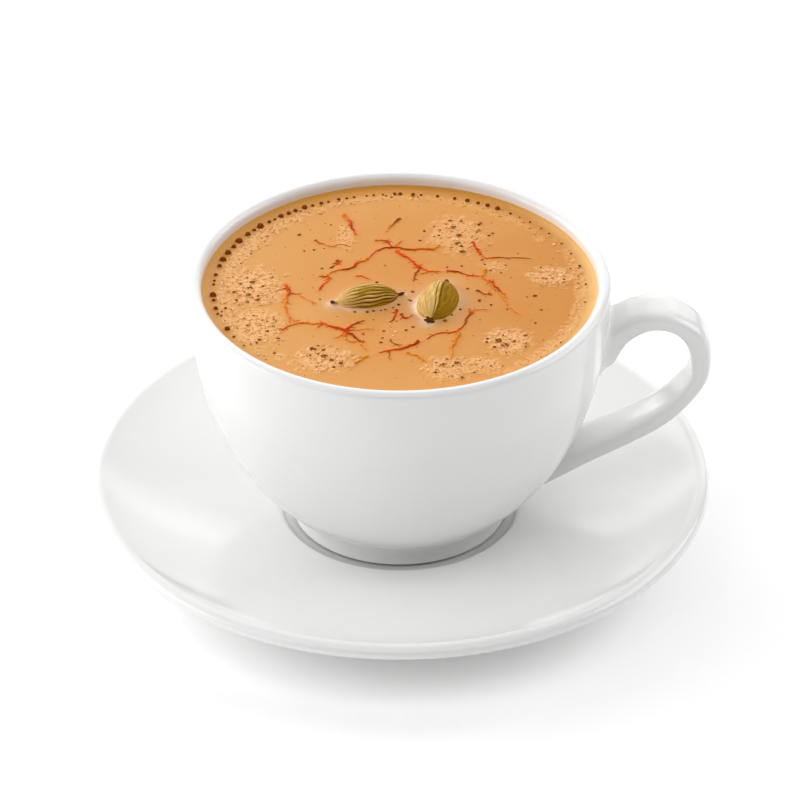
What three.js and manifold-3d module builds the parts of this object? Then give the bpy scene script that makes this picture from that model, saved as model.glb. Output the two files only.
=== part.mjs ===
// A cup of masala chai on its saucer: white glazed porcelain, filled almost to the brim, with two green
// cardamom pods and strands of saffron lying on the drink. Millimetres, +Z up. The origin is the middle
// of the saucer's foot ring, on the table, and the handle points along +X.

import * as THREE from "three";
import { mergeVertices } from "three/addons/utils/BufferGeometryUtils.js";
import Module from "manifold-3d";

// Saucer. Radii are from its axis and heights from the table.
const SAUCER_RADIUS = 77.5;
const SAUCER_EDGE_HEIGHT = 16.7;
const SAUCER_CREST = { radius: 74.4, height: 19.4 };
const SAUCER_WELL = { radius: 30.7, slopeRadius: 28.9, depth: 1.5 };
const SAUCER_FOOT = { outer: 41.2, inner: 38.4, height: 3.8 };
const SEAT_HEIGHT = 8;

// Cup. Heights here and below are from the bottom of its foot, which stands in the saucer's well.
const CUP_RADIUS = 52;
const LIP_HEIGHT = 65.8;
const WALL_AT_LIP = 3.3;
const WALL_AT_FOOT = 4.2;
const CUP_FOOT = { outer: 26.9, inner: 24.2, height: 5, hollow: 2 };
const BODY_START = { radius: 28.3, height: 6.2 };
const BODY_PULLS = [
  { radius: 45.4, height: 19.1 },
  { radius: 51.8, height: 42.9 },
];
const CUP_FLOOR_HEIGHT = 6.4;

// Handle: a strap whose outer and inner edges are matched points [x, z] in the plane of the handle, with
// half its width across at each. It starts under the lip with a deep root and ends low on the body.
const HANDLE_SECTIONS = [
  { outer: [48.9, 54.9], inner: [48.9, 44.3], halfWidth: 9.0 },
  { outer: [51.7, 56.6], inner: [52.5, 45.5], halfWidth: 7.3 },
  { outer: [54.3, 58.1], inner: [54.4, 48.6], halfWidth: 6.4 },
  { outer: [57.8, 59.7], inner: [56.5, 52.0], halfWidth: 6.2 },
  { outer: [62.8, 60.7], inner: [61.6, 55.1], halfWidth: 6.2 },
  { outer: [69.2, 58.8], inner: [67.0, 54.4], halfWidth: 6.2 },
  { outer: [74.3, 54.0], inner: [70.4, 51.5], halfWidth: 6.2 },
  { outer: [76.8, 44.4], inner: [72.6, 44.4], halfWidth: 6.2 },
  { outer: [75.2, 38.4], inner: [72.0, 39.8], halfWidth: 6.2 },
  { outer: [67.4, 28.8], inner: [64.7, 32.2], halfWidth: 6.2 },
  { outer: [57.7, 22.4], inner: [55.6, 26.4], halfWidth: 6.2 },
  { outer: [47.5, 16.8], inner: [45.4, 21.4], halfWidth: 6.6 },
  { outer: [36.5, 10.8], inner: [34.6, 16.4], halfWidth: 8.0 },
];
const STRAP_SQUARENESS = 2.6;

// Drink.
const CHAI_LEVEL = 64.2;
const FILL_GAP = 0.3;
const MENISCUS = { rise: 0.6, width: 2.2 };

// Cardamom pods: spindles with three lobes, lengthwise ribs and a dry stub at each end, afloat with
// their axis at the level of the drink. Station and radius are along and from a pod's own axis.
const POD_OUTLINE = [
  [-1.2, 0.05],
  [-1.02, 0.13],
  [-0.95, 0.26],
  [-0.72, 0.7],
  [-0.38, 0.94],
  [0, 1],
  [0.38, 0.93],
  [0.72, 0.66],
  [0.95, 0.24],
  [1.02, 0.12],
  [1.2, 0.05],
];
const POD_RIBS = 10;
const POD_RIB_HEIGHT = 0.045;
const POD_LOBE_HEIGHT = 0.05;
const PODS = [
  {
    name: "cardamom_pod_left",
    centre: [-7.6, -4.2],
    turn: 13,
    halfLength: 7.7,
    halfWidth: 3.9,
    halfHeight: 3.5,
    roll: 20,
  },
  {
    name: "cardamom_pod_right",
    centre: [9.9, -5.2],
    turn: 76,
    halfLength: 7.2,
    halfWidth: 4.7,
    halfHeight: 3.9,
    roll: 90,
  },
];

// Saffron: each strand is a few points [x, y] on the drink, from its thick end to its tip.
const STRAND_RADIUS = 0.42;
const SAFFRON_STRANDS = [
  [[9.7, 19.9], [4.4, 18.3], [-1.8, 19.9], [-6.3, 17.9], [-9.0, 13.3]],
  [[-10.2, 11.8], [-13.3, 9.0], [-15.5, 9.0], [-19.4, 6.0]],
  [[-2.6, 20.6], [-4.6, 22.4], [-7.6, 22.8]],
  [[-0.6, 18.3], [1.9, 14.8], [5.0, 9.8], [9.3, 8.4], [12.5, 8.3]],
  [[5.4, 9.5], [3.6, 4.9]],
  [[13.2, 8.3], [17.4, 6.8], [20.3, 6.4], [24.7, -0.5], [29.8, -11.5]],
  [[32.9, 14.4], [23.6, 15.2], [20.6, 15.6], [18.0, 21.8]],
  [[-12.6, 33.2], [-11.6, 28.9], [-10.8, 25.6]],
  [[0.3, 33.2], [-2.8, 28.1]],
  [[-21.0, 23.4], [-17.6, 20.2], [-12.1, 19.9]],
  [[-9.2, -24.2], [-13.1, -19.0], [-19.6, -15.7], [-25.7, -15.0], [-28.5, -18.2]],
  [[-13.6, -18.6], [-11.4, -15.7], [-8.3, -14.1]],
  [[-27.7, 0.5], [-28.0, -8.5], [-26.2, -14.2]],
  [[-27.1, -0.9], [-21.0, -6.8]],
  [[4.7, -23.8], [-1.4, -27.1], [-6.0, -28.9], [-10.7, -33.3]],
  [[1.7, -28.9], [6.6, -32.5]],
  [[17.6, -10.3], [16.2, -14.8], [12.4, -19.0], [6.7, -22.6]],
  [[13.9, -20.8], [12.4, -31.1]],
  [[-0.6, -9.4], [-1.4, -13.3], [1.8, -13.0], [3.5, -11.8]],
];

// Foam: bubbles along the wall, patches of small domes, and flecks of ground spice between them.
const RIM_BUBBLES = { from: 58, to: 206, radius: 45.9, count: 40, small: 0.42, large: 0.95, flatness: 0.7 };
const FOAM_PATCHES = [
  { centre: [-36.5, -1], half: [6, 9], domes: 9 },
  { centre: [-33.5, -17], half: [5, 7.5], domes: 7 },
  { centre: [-17.5, -31], half: [7, 5.5], domes: 8 },
  { centre: [17, -35], half: [8, 4.5], domes: 8 },
  { centre: [26.7, -22.5], half: [5.5, 5], domes: 7 },
  { centre: [38, 5], half: [5.5, 5], domes: 7 },
  { centre: [14, 27], half: [5.5, 8], domes: 8 },
];
const DOME = { radiusMin: 0.9, radiusMax: 1.9, flatness: 0.28 };
const FLECKS = { count: 30, reach: 38, radiusMin: 0.35, radiusMax: 0.6, podClearance: 2.4 };
const DRAW_SEED = 41;

// How finely round things are faceted.
const SIDES = 48;
const CURVE_STEPS = 3;
const BODY_STEPS = 8;
const LIP_STEPS = 3;
const HANDLE_STEPS = 28;
const HANDLE_SIDES = 14;
const POD_STEPS = 11;
const POD_SIDES = 30;
const HOLLOW_SIDES = 16;
const STRAND_SIDES = 4;
const DOME_SIDES = 7;
const BUBBLE_SIDES = 6;

const wasm = await Module();
wasm.setup();

const porcelain = new THREE.MeshStandardMaterial({ color: 0xf4f4f3, roughness: 0.12, metalness: 0 });
const milkyTea = new THREE.MeshStandardMaterial({ color: 0xdf9e63, roughness: 0.35, metalness: 0 });
const podHusk = new THREE.MeshStandardMaterial({ color: 0xa89a50, roughness: 0.6, metalness: 0 });

const degrees = THREE.MathUtils.degToRad;

// A closed geometry as a solid that can be joined and cut.
function toSolid(geometry) {
  const bare = geometry.clone();
  bare.deleteAttribute("normal");
  bare.deleteAttribute("uv");
  const merged = mergeVertices(bare, 1e-4);
  return new wasm.Manifold(
    new wasm.Mesh({
      numProp: 3,
      vertProperties: merged.attributes.position.array,
      triVerts: new Uint32Array(merged.index.array),
    }),
  );
}

// A joined or cut solid back as a geometry.
function toGeometry(solid) {
  const mesh = solid.getMesh();
  const geometry = new THREE.BufferGeometry();
  geometry.setAttribute("position", new THREE.BufferAttribute(mesh.vertProperties, 3));
  geometry.setIndex(new THREE.BufferAttribute(mesh.triVerts, 1));
  geometry.computeVertexNormals();
  return geometry;
}

// Turns an outline of [radius, height] points once round the Z axis.
function turned(points) {
  const geometry = new THREE.LatheGeometry(points, SIDES);
  geometry.rotateX(Math.PI / 2);
  return geometry;
}

// A closed tube whose ring at station t, from 0 to 1, is the points ringPoint(t, angle).
function loft(ringPoint, steps, sides) {
  const positions = [];
  const faces = [];
  for (let i = 0; i <= steps; i += 1) {
    for (let j = 0; j < sides; j += 1) {
      positions.push(...ringPoint(i / steps, (2 * Math.PI * j) / sides).toArray());
    }
  }
  for (let i = 0; i < steps; i += 1) {
    for (let j = 0; j < sides; j += 1) {
      const a = i * sides + j;
      const b = i * sides + ((j + 1) % sides);
      faces.push(a, b, b + sides, a, b + sides, a + sides);
    }
  }
  const last = steps * sides;
  for (let j = 1; j < sides - 1; j += 1) {
    faces.push(0, j + 1, j);
    faces.push(last, last + j, last + j + 1);
  }
  const geometry = new THREE.BufferGeometry();
  geometry.setAttribute("position", new THREE.Float32BufferAttribute(positions, 3));
  geometry.setIndex(faces);
  return geometry;
}

// Numbers from 0 to 1 that come out the same each time.
function seededDraws(seed) {
  let state = seed;
  return () => {
    state = (state * 1664525 + 1013904223) % 4294967296;
    return state / 4294967296;
  };
}

function saucerGeometry() {
  const foot = SAUCER_FOOT;
  const crest = SAUCER_CREST;
  const well = SAUCER_WELL;
  const edge = SAUCER_RADIUS;
  const outline = new THREE.Path();
  outline.moveTo(0, foot.height);
  outline.lineTo(foot.inner - 1, foot.height);
  outline.quadraticCurveTo(foot.inner, foot.height, foot.inner, foot.height - 1);
  outline.lineTo(foot.inner + 0.4, 0);
  outline.lineTo(foot.outer - 0.4, 0);
  outline.lineTo(foot.outer, 0.5);
  outline.lineTo(foot.outer + 0.3, foot.height);
  outline.bezierCurveTo(foot.outer + 14, foot.height + 2, edge - 9, 10.6, edge - 2, 15.5);
  outline.quadraticCurveTo(edge - 0.1, 15.8, edge, SAUCER_EDGE_HEIGHT);
  outline.bezierCurveTo(edge, 18.5, crest.radius + 1.6, crest.height, crest.radius, crest.height);
  outline.bezierCurveTo(crest.radius - 1.8, crest.height, crest.radius - 3, 18, crest.radius - 5.4, 16.2);
  outline.bezierCurveTo(60, 11.4, 44, 10.2, well.radius + 0.8, SEAT_HEIGHT + well.depth);
  outline.quadraticCurveTo(well.radius - 0.4, SEAT_HEIGHT + well.depth, well.slopeRadius, SEAT_HEIGHT);
  outline.lineTo(0, SEAT_HEIGHT);
  return toGeometry(toSolid(turned(outline.getPoints(CURVE_STEPS))));
}

// Points up the cup's body, from the foot band to the lip, set in from the outside by a share of the wall,
// which thins upwards, and by a clearance.
function bodyCurve(wallShare, clearance) {
  const curve = new THREE.CubicBezierCurve(
    new THREE.Vector2(BODY_START.radius, BODY_START.height),
    new THREE.Vector2(BODY_PULLS[0].radius, BODY_PULLS[0].height),
    new THREE.Vector2(BODY_PULLS[1].radius, BODY_PULLS[1].height),
    new THREE.Vector2(CUP_RADIUS, LIP_HEIGHT),
  );
  const points = [];
  for (let i = 0; i <= BODY_STEPS; i += 1) {
    const t = i / BODY_STEPS;
    const along = curve.getTangent(t);
    const inset = wallShare * THREE.MathUtils.lerp(WALL_AT_FOOT, WALL_AT_LIP, t) + clearance;
    points.push(curve.getPoint(t).add(new THREE.Vector2(-along.y, along.x).multiplyScalar(inset)));
  }
  return points;
}

// The cup's inside, from the middle of its floor up to the lip, at a clearance from the wall.
function insideCurve(clearance) {
  const wall = bodyCurve(1, clearance);
  const foot = wall[0];
  const floor = CUP_FLOOR_HEIGHT + clearance;
  const points = [];
  for (const share of [0, 0.5, 0.75, 0.9]) {
    points.push(new THREE.Vector2(share * foot.x, floor + (foot.y - floor) * share ** 6));
  }
  return points.concat(wall);
}

function handleGeometry() {
  const edge = (side) =>
    new THREE.SplineCurve(HANDLE_SECTIONS.map((section) => new THREE.Vector2(...section[side])));
  const outer = edge("outer");
  const inner = edge("inner");
  const widths = new THREE.SplineCurve(
    HANDLE_SECTIONS.map((section, i) => new THREE.Vector2(i, section.halfWidth)),
  );
  const power = 2 / STRAP_SQUARENESS;
  const rounded = (value) => Math.sign(value) * Math.abs(value) ** power;
  const ringPoint = (t, angle) => {
    const out = outer.getPoint(t);
    const middle = out.clone().add(inner.getPoint(t)).multiplyScalar(0.5);
    const half = out.sub(middle).multiplyScalar(rounded(Math.cos(angle)));
    const across = -widths.getPoint(t).y * rounded(Math.sin(angle));
    return new THREE.Vector3(middle.x + half.x, across, middle.y + half.y);
  };
  return loft(ringPoint, HANDLE_STEPS, HANDLE_SIDES);
}

// The body is one turned wall. The handle is cut off inside the wall's thickness and joined to it.
function cupGeometry() {
  const foot = CUP_FOOT;
  const lipRadius = WALL_AT_LIP / 2;
  const inside = insideCurve(0);
  const lip = new THREE.Path();
  lip.absarc(CUP_RADIUS - lipRadius, LIP_HEIGHT, lipRadius, 0, Math.PI, false);
  const wall = [
    new THREE.Vector2(0, foot.hollow),
    new THREE.Vector2(foot.inner - 1, foot.hollow),
    new THREE.Vector2(foot.inner, foot.hollow - 1),
    new THREE.Vector2(foot.inner + 0.4, 0),
    new THREE.Vector2(foot.outer - 0.3, 0),
    new THREE.Vector2(foot.outer, 0.4),
    new THREE.Vector2(foot.outer + 0.5, foot.height),
    ...bodyCurve(0, 0),
    ...lip.getPoints(LIP_STEPS).slice(1, -1),
    ...inside.slice().reverse(),
  ];
  const middleOfWall = bodyCurve(0.5, 0);
  const core = [
    new THREE.Vector2(0, middleOfWall[0].y),
    ...middleOfWall,
    new THREE.Vector2(0, LIP_HEIGHT),
  ];
  const handle = toSolid(handleGeometry()).subtract(toSolid(turned(core)));
  return toGeometry(toSolid(turned(wall)).add(handle));
}

// A pod, or with a swelling and no ribs the smooth hollow that it floats in.
function podGeometry(pod, swelling, ribs, sides) {
  const outline = new THREE.SplineCurve(POD_OUTLINE.map((point) => new THREE.Vector2(...point)));
  const turn = degrees(pod.turn);
  const ringPoint = (t, angle) => {
    const station = outline.getPoint(t);
    const taper = Math.max(station.y, 0.02);
    const lobes = POD_LOBE_HEIGHT * Math.cos(3 * angle + degrees(pod.roll));
    const relief = 1 + taper * (lobes + ribs * Math.cos(POD_RIBS * angle));
    const along = station.x * (pod.halfLength + swelling);
    const across = (pod.halfWidth * taper * relief + swelling) * Math.cos(angle);
    const up = (pod.halfHeight * taper * relief + swelling) * Math.sin(angle);
    return new THREE.Vector3(
      pod.centre[0] + along * Math.cos(turn) - across * Math.sin(turn),
      pod.centre[1] + along * Math.sin(turn) + across * Math.cos(turn),
      CHAI_LEVEL + up,
    );
  };
  return loft(ringPoint, POD_STEPS, sides);
}

// The drink alone: it fills the cup up to its level and creeps a little up the wall.
function drinkSolid() {
  const inside = insideCurve(FILL_GAP).filter((point) => point.y < CHAI_LEVEL - 3);
  const edge = CUP_RADIUS - WALL_AT_LIP - FILL_GAP;
  const { rise, width } = MENISCUS;
  const top = [
    new THREE.Vector2(edge, CHAI_LEVEL + rise),
    new THREE.Vector2(edge - width / 4, CHAI_LEVEL + rise / 3),
    new THREE.Vector2(edge - width, CHAI_LEVEL),
    new THREE.Vector2(0, CHAI_LEVEL),
  ];
  return toSolid(turned([...inside.filter((_, i) => i % 2 === 0), ...top]));
}

// A strand of saffron, a thin tube half sunk in the drink.
function strandGeometry(points) {
  const path = new THREE.CatmullRomCurve3(points.map(([x, y]) => new THREE.Vector3(x, y, CHAI_LEVEL)));
  const section = new THREE.Shape();
  section.absellipse(0, 0, STRAND_RADIUS, STRAND_RADIUS, 0, 2 * Math.PI, false, 0.3);
  return new THREE.ExtrudeGeometry(section, {
    extrudePath: path,
    steps: 2 * points.length - 2,
    curveSegments: STRAND_SIDES / 2,
    bevelEnabled: false,
  });
}

// A squashed ball that stands out of the drink as a dome.
function domeGeometry(x, y, radius, height, sides) {
  const geometry = new THREE.SphereGeometry(1, sides, 4);
  geometry.rotateX(Math.PI / 2);
  geometry.scale(radius, radius, height);
  geometry.translate(x, y, CHAI_LEVEL);
  return geometry;
}

function clearOfPods(x, y, clearance) {
  return PODS.every((pod) => {
    const turn = degrees(pod.turn);
    const dx = x - pod.centre[0];
    const dy = y - pod.centre[1];
    const along = Math.abs(dx * Math.cos(turn) + dy * Math.sin(turn)) / (1.2 * pod.halfLength + clearance);
    const across = Math.abs(dy * Math.cos(turn) - dx * Math.sin(turn)) / (pod.halfWidth + clearance);
    return along ** 2 + across ** 2 > 1;
  });
}

function foamGeometries(draw) {
  const pieces = [];
  const rim = RIM_BUBBLES;
  for (let i = 0; i < rim.count; i += 1) {
    const share = i / (rim.count - 1);
    const angle = degrees(rim.from + (rim.to - rim.from) * share);
    const swell = Math.sin(Math.PI * share) ** 2 * (0.6 + 0.4 * draw());
    const size = THREE.MathUtils.lerp(rim.small, rim.large, swell);
    const reach = rim.radius + 0.5 * draw();
    const x = reach * Math.cos(angle);
    const y = reach * Math.sin(angle);
    pieces.push(domeGeometry(x, y, size, RIM_BUBBLES.flatness * size, BUBBLE_SIDES));
  }
  for (const patch of FOAM_PATCHES) {
    for (let i = 0; i < patch.domes; i += 1) {
      const angle = 2 * Math.PI * ((i * 0.618) % 1);
      const reach = Math.sqrt((i + 0.5) / patch.domes);
      const size = THREE.MathUtils.lerp(DOME.radiusMin, DOME.radiusMax, draw());
      const x = patch.centre[0] + patch.half[0] * reach * Math.cos(angle);
      const y = patch.centre[1] + patch.half[1] * reach * Math.sin(angle);
      pieces.push(domeGeometry(x, y, size, DOME.flatness * size, DOME_SIDES));
    }
  }
  return pieces;
}

function fleckGeometries(draw) {
  const pieces = [];
  while (pieces.length < FLECKS.count) {
    const angle = 2 * Math.PI * draw();
    const reach = FLECKS.reach * Math.sqrt(draw());
    const x = reach * Math.cos(angle);
    const y = reach * Math.sin(angle);
    const size = THREE.MathUtils.lerp(FLECKS.radiusMin, FLECKS.radiusMax, draw());
    if (clearOfPods(x, y, FLECKS.podClearance)) {
      const geometry = new THREE.OctahedronGeometry(size);
      geometry.rotateZ(Math.PI * draw());
      geometry.translate(x, y, CHAI_LEVEL);
      pieces.push(geometry);
    }
  }
  return pieces;
}

// The drink with its foam, saffron and spice joined on, cut away round the pods.
function chaiGeometry() {
  const draw = seededDraws(DRAW_SEED);
  const toppings = [
    ...SAFFRON_STRANDS.map(strandGeometry),
    ...foamGeometries(draw),
    ...fleckGeometries(draw),
  ];
  let solid = drinkSolid();
  for (const topping of toppings) {
    solid = solid.add(toSolid(topping));
  }
  for (const pod of PODS) {
    solid = solid.subtract(toSolid(podGeometry(pod, FILL_GAP + 0.1, 0, HOLLOW_SIDES)));
  }
  return toGeometry(solid);
}

function named(name, geometry, material) {
  const mesh = new THREE.Mesh(geometry, material);
  mesh.name = name;
  return mesh;
}

const cupAndDrink = new THREE.Group();
cupAndDrink.add(named("cup", cupGeometry(), porcelain));
cupAndDrink.add(named("chai", chaiGeometry(), milkyTea));
for (const pod of PODS) {
  cupAndDrink.add(named(pod.name, podGeometry(pod, 0, POD_RIB_HEIGHT, POD_SIDES), podHusk));
}
cupAndDrink.position.z = SEAT_HEIGHT;

const servedChai = new THREE.Group();
servedChai.add(named("saucer", saucerGeometry(), porcelain));
servedChai.add(cupAndDrink);

export default servedChai;
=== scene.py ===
import math

import bpy
import numpy as np
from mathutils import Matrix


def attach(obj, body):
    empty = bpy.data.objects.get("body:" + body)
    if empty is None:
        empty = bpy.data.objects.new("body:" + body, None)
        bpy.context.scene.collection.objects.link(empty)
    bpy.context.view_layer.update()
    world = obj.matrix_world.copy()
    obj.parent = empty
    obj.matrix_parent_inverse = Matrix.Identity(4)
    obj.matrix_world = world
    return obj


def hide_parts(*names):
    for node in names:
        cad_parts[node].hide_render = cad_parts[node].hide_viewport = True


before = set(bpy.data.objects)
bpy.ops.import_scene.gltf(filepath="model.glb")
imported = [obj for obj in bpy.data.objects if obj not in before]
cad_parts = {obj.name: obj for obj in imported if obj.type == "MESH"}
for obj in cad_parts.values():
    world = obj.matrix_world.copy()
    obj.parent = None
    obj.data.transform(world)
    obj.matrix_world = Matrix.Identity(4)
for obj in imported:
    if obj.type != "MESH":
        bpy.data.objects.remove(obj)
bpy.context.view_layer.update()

# A cup of masala chai on its saucer, seen from the front and above through a long lens.
# The camera stands on the plane of the cup's middle and aims halfway up the cup.
CAMERA_DISTANCE = 1.5
CAMERA_ELEVATION = math.radians(33.41)
CAMERA_AIM = (0.0001, 0, 0.03985)
LENS_MM = 271.6
SENSOR_MM = 36

scene = bpy.context.scene
camera_data = bpy.data.cameras.new("camera")
camera_data.lens = LENS_MM
camera_data.sensor_width = SENSOR_MM
camera = bpy.data.objects.new("camera", camera_data)
camera.location = (
    CAMERA_AIM[0],
    -CAMERA_DISTANCE * math.cos(CAMERA_ELEVATION),
    CAMERA_AIM[2] + CAMERA_DISTANCE * math.sin(CAMERA_ELEVATION),
)
camera.rotation_euler = (math.pi / 2 - CAMERA_ELEVATION, 0, 0)
scene.collection.objects.link(camera)
scene.camera = camera
scene.view_settings.view_transform = "Standard"

# The studio: a wide sheet of white paper under the saucer, which glows faintly so that it stays white, and
# soft windows on the left and right, behind and above. Less light comes from the camera's side, which gives
# the cup's front its grey.
ROOM_LIGHT = 0.01
PAPER_WIDTH = 6
PAPER_WHITE = (0.98, 0.98, 0.98, 1)
PAPER_GLOW = 0.1
LIGHTS = [
    # name, size across and up, place, watts
    ("window_left", (1.9, 1.1), (-1.5, 0.25, 0.7), 18.5),
    ("window_left_back", (1.4, 1.0), (-1.2, 1.0, 0.8), 8.5),
    ("window_left_front", (1.2, 1.0), (-1.2, -0.9, 0.7), 3.2),
    ("window_right", (1.7, 1.1), (1.5, 0.42, 1.05), 18.5),
    ("wall_behind", (2.4, 0.7), (0.0, 1.6, 0.5), 7.5),
    ("sky_behind", (1.8, 1.4), (0.0, 1.1, 1.2), 8.5),
    ("sky_in_front", (2.6, 1.1), (-0.1, -0.8, 1.45), 12.5),
]

world = bpy.data.worlds.new("pale_room")
world.use_nodes = True
world.node_tree.nodes["Background"].inputs["Color"].default_value = (1, 1, 1, 1)
world.node_tree.nodes["Background"].inputs["Strength"].default_value = ROOM_LIGHT
scene.world = world

for name, size, place, watts in LIGHTS:
    light_data = bpy.data.lights.new(name, "AREA")
    light_data.shape = "RECTANGLE"
    light_data.size, light_data.size_y = size
    light_data.energy = watts
    light = bpy.data.objects.new(name, light_data)
    light.location = place
    distance = math.dist(place, (0, 0, 0))
    light.rotation_euler = (math.acos(place[2] / distance), 0, math.atan2(place[1], place[0]) + math.pi / 2)
    scene.collection.objects.link(light)


def new_skin(name, sockets):
    """A material, its node tree and its shader, with the shader's sockets that are the same all over set."""
    skin = bpy.data.materials.new(name)
    skin.use_nodes = True
    shader = skin.node_tree.nodes["Principled BSDF"]
    for socket, value in sockets.items():
        shader.inputs[socket].default_value = value
    return skin, skin.node_tree, shader


paper_skin, _, _ = new_skin(
    "white_paper",
    {
        "Base Color": PAPER_WHITE,
        "Roughness": 0.9,
        "Emission Color": (1, 1, 1, 1),
        "Emission Strength": PAPER_GLOW,
    },
)
bpy.ops.mesh.primitive_plane_add(size=PAPER_WIDTH)
paper = bpy.context.object
paper.name = "white_paper"
paper.data.materials.append(paper_skin)

# The saucer: slip-cast porcelain with a raised foot ring, a sunk well for the cup and a rolled edge, dipped
# in clear glaze and fired. Only the bottom of the foot ring is left bare, so that it doesn't stick.
MM = 0.001
SAUCER_RADIUS = 77.5
SAUCER_EDGE_HEIGHT = 16.7
SAUCER_CREST = (75.1, 18.9)
SAUCER_LIP_INSIDE = (73.5, 18.4)
SAUCER_DISH_PULLS = [(65, 14.6), (46, 10.0)]
SAUCER_WELL_RADIUS = 30.1
SAUCER_WELL_FOOT = 28.9
SAUCER_WELL_DEPTH = 1.5
SAUCER_FOOT_RING = (41.2, 38.4, 3.8)  # outer and inner radius, height
SEAT_HEIGHT = 8.0
TURNED_SIDES = 288
GLAZE_WHITE = (0.86, 0.86, 0.856, 1)
GLAZE_SHADOW_WHITE = (0.835, 0.835, 0.827, 1)
GLAZE_ROUGHNESS = (0.1, 0.17)
GLAZE_IOR = 1.5
BARE_CLAY = (0.70, 0.68, 0.63, 1)
BARE_CLAY_ROUGHNESS = 0.75
BARE_CLAY_UP_TO = (0.00045, 0.0003)  # metres above the table: no clay shows, all is clay


def bezier(start, first, second, end, steps):
    """Cubic curve (1-t)^3 start + 3(1-t)^2 t first + 3(1-t) t^2 second + t^3 end, at even t."""
    t = np.linspace(0, 1, steps + 1)[:, None]
    start, first, second, end = (np.array(point, float) for point in (start, first, second, end))
    return (1 - t) ** 3 * start + 3 * (1 - t) ** 2 * t * first + 3 * (1 - t) * t**2 * second + t**3 * end


def bend(start, corner, end, steps):
    """Quadratic curve from start to end that heads for the corner, written as a cubic."""
    start, corner, end = (np.array(point, float) for point in (start, corner, end))
    return bezier(start, start + (corner - start) * 2 / 3, end + (corner - end) * 2 / 3, end, steps)


def line(start, end, steps):
    """Straight run of even points."""
    return np.linspace(start, end, steps + 1)


def joined(*stretches):
    """Stretches of an outline end to end, with each shared point once."""
    return np.vstack([stretches[0]] + [stretch[1:] for stretch in stretches[1:]])


def ring_faces(rings, sides):
    """Quads between neighbouring rings of points, and fans that close the first and the last ring on the two
    poles, whose points come after all the rings."""
    here = np.arange(sides)
    after = (here + 1) % sides
    base = np.arange(rings - 1)[:, None] * sides
    quads = np.stack([base + here, base + after, base + sides + after, base + sides + here], -1)
    last = (rings - 1) * sides
    pole = np.full(sides, rings * sides)
    fans = [np.stack([pole, after, here], -1), np.stack([pole + 1, last + here, last + after], -1)]
    return quads.reshape(-1, 4), np.vstack(fans)


def turned(outline, sides):
    """Outline point [r, h] becomes the ring (r cos a, r sin a, h). Its ends lie on the axis, as poles."""
    angle = 2 * np.pi * np.arange(sides) / sides
    rings = outline[1:-1]
    around = np.stack([np.cos(angle), np.sin(angle)], -1)
    flat = rings[:, 0, None, None] * around[None]
    high = np.repeat(rings[:, 1, None, None], sides, axis=1)
    poles = [[0, 0, outline[0, 1]], [0, 0, outline[-1, 1]]]
    points = np.vstack([np.concatenate([flat, high], -1).reshape(-1, 3), poles])
    return points, *ring_faces(len(rings), sides)


def piece(name, points, *face_arrays):
    """A smooth-shaded mesh object from points in millimetres and arrays of faces."""
    mesh = bpy.data.meshes.new(name)
    faces = [face for faces in face_arrays for face in faces.tolist()]
    mesh.from_pydata((points * MM).tolist(), [], faces)
    mesh.update()
    mesh.shade_smooth()
    made = bpy.data.objects.new(name, mesh)
    scene.collection.objects.link(made)
    return made


def add_node(tree, kind, inputs=None, **settings):
    """A shader node with its properties, and with the sockets that inputs names given a value."""
    made = tree.nodes.new(kind)
    for key, value in settings.items():
        setattr(made, key, value)
    for socket, value in (inputs or {}).items():
        made.inputs[socket].default_value = value
    return made


def wire(tree, links):
    """Joins pairs of sockets."""
    for source, target in links:
        tree.links.new(source, target)


def noise(tree, place, scale, detail, roughness=0.5):
    """The value of a noise in a space, from 0 to 1."""
    sockets = {"Scale": scale, "Detail": detail, "Roughness": roughness}
    made = add_node(tree, "ShaderNodeTexNoise", sockets)
    tree.links.new(place, made.inputs["Vector"])
    return made.outputs["Fac"]


def graded(tree, source, span, values, interpolation_type="LINEAR"):
    """A value that goes from the first to the last of values while the source goes along its span."""
    sockets = {"From Min": span[0], "From Max": span[1], "To Min": values[0], "To Max": values[1]}
    ramp = add_node(tree, "ShaderNodeMapRange", sockets, interpolation_type=interpolation_type)
    tree.links.new(source, ramp.inputs["Value"])
    return ramp.outputs["Result"]


def bump(tree, shader, height, strength, distance):
    """The shader's relief: a height from 0 to 1, times a distance in metres, applied by a strength."""
    relief = add_node(tree, "ShaderNodeBump", {"Strength": strength, "Distance": distance})
    wire(tree, [(height, relief.inputs["Height"]), (relief.outputs["Normal"], shader.inputs["Normal"])])


def coats(tree, base, layers):
    """Colours laid one on another: each colour, or colour socket, covers what is below it by its mask."""
    for mask, colour in layers:
        coat = add_node(tree, "ShaderNodeMix", data_type="RGBA")
        tree.links.new(mask, coat.inputs["Factor"])
        for socket, tone in (("A", base), ("B", colour)):
            if isinstance(tone, tuple):
                coat.inputs[socket].default_value = tone
            else:
                tree.links.new(tone, coat.inputs[socket])
        base = coat.outputs["Result"]
    return base


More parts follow.
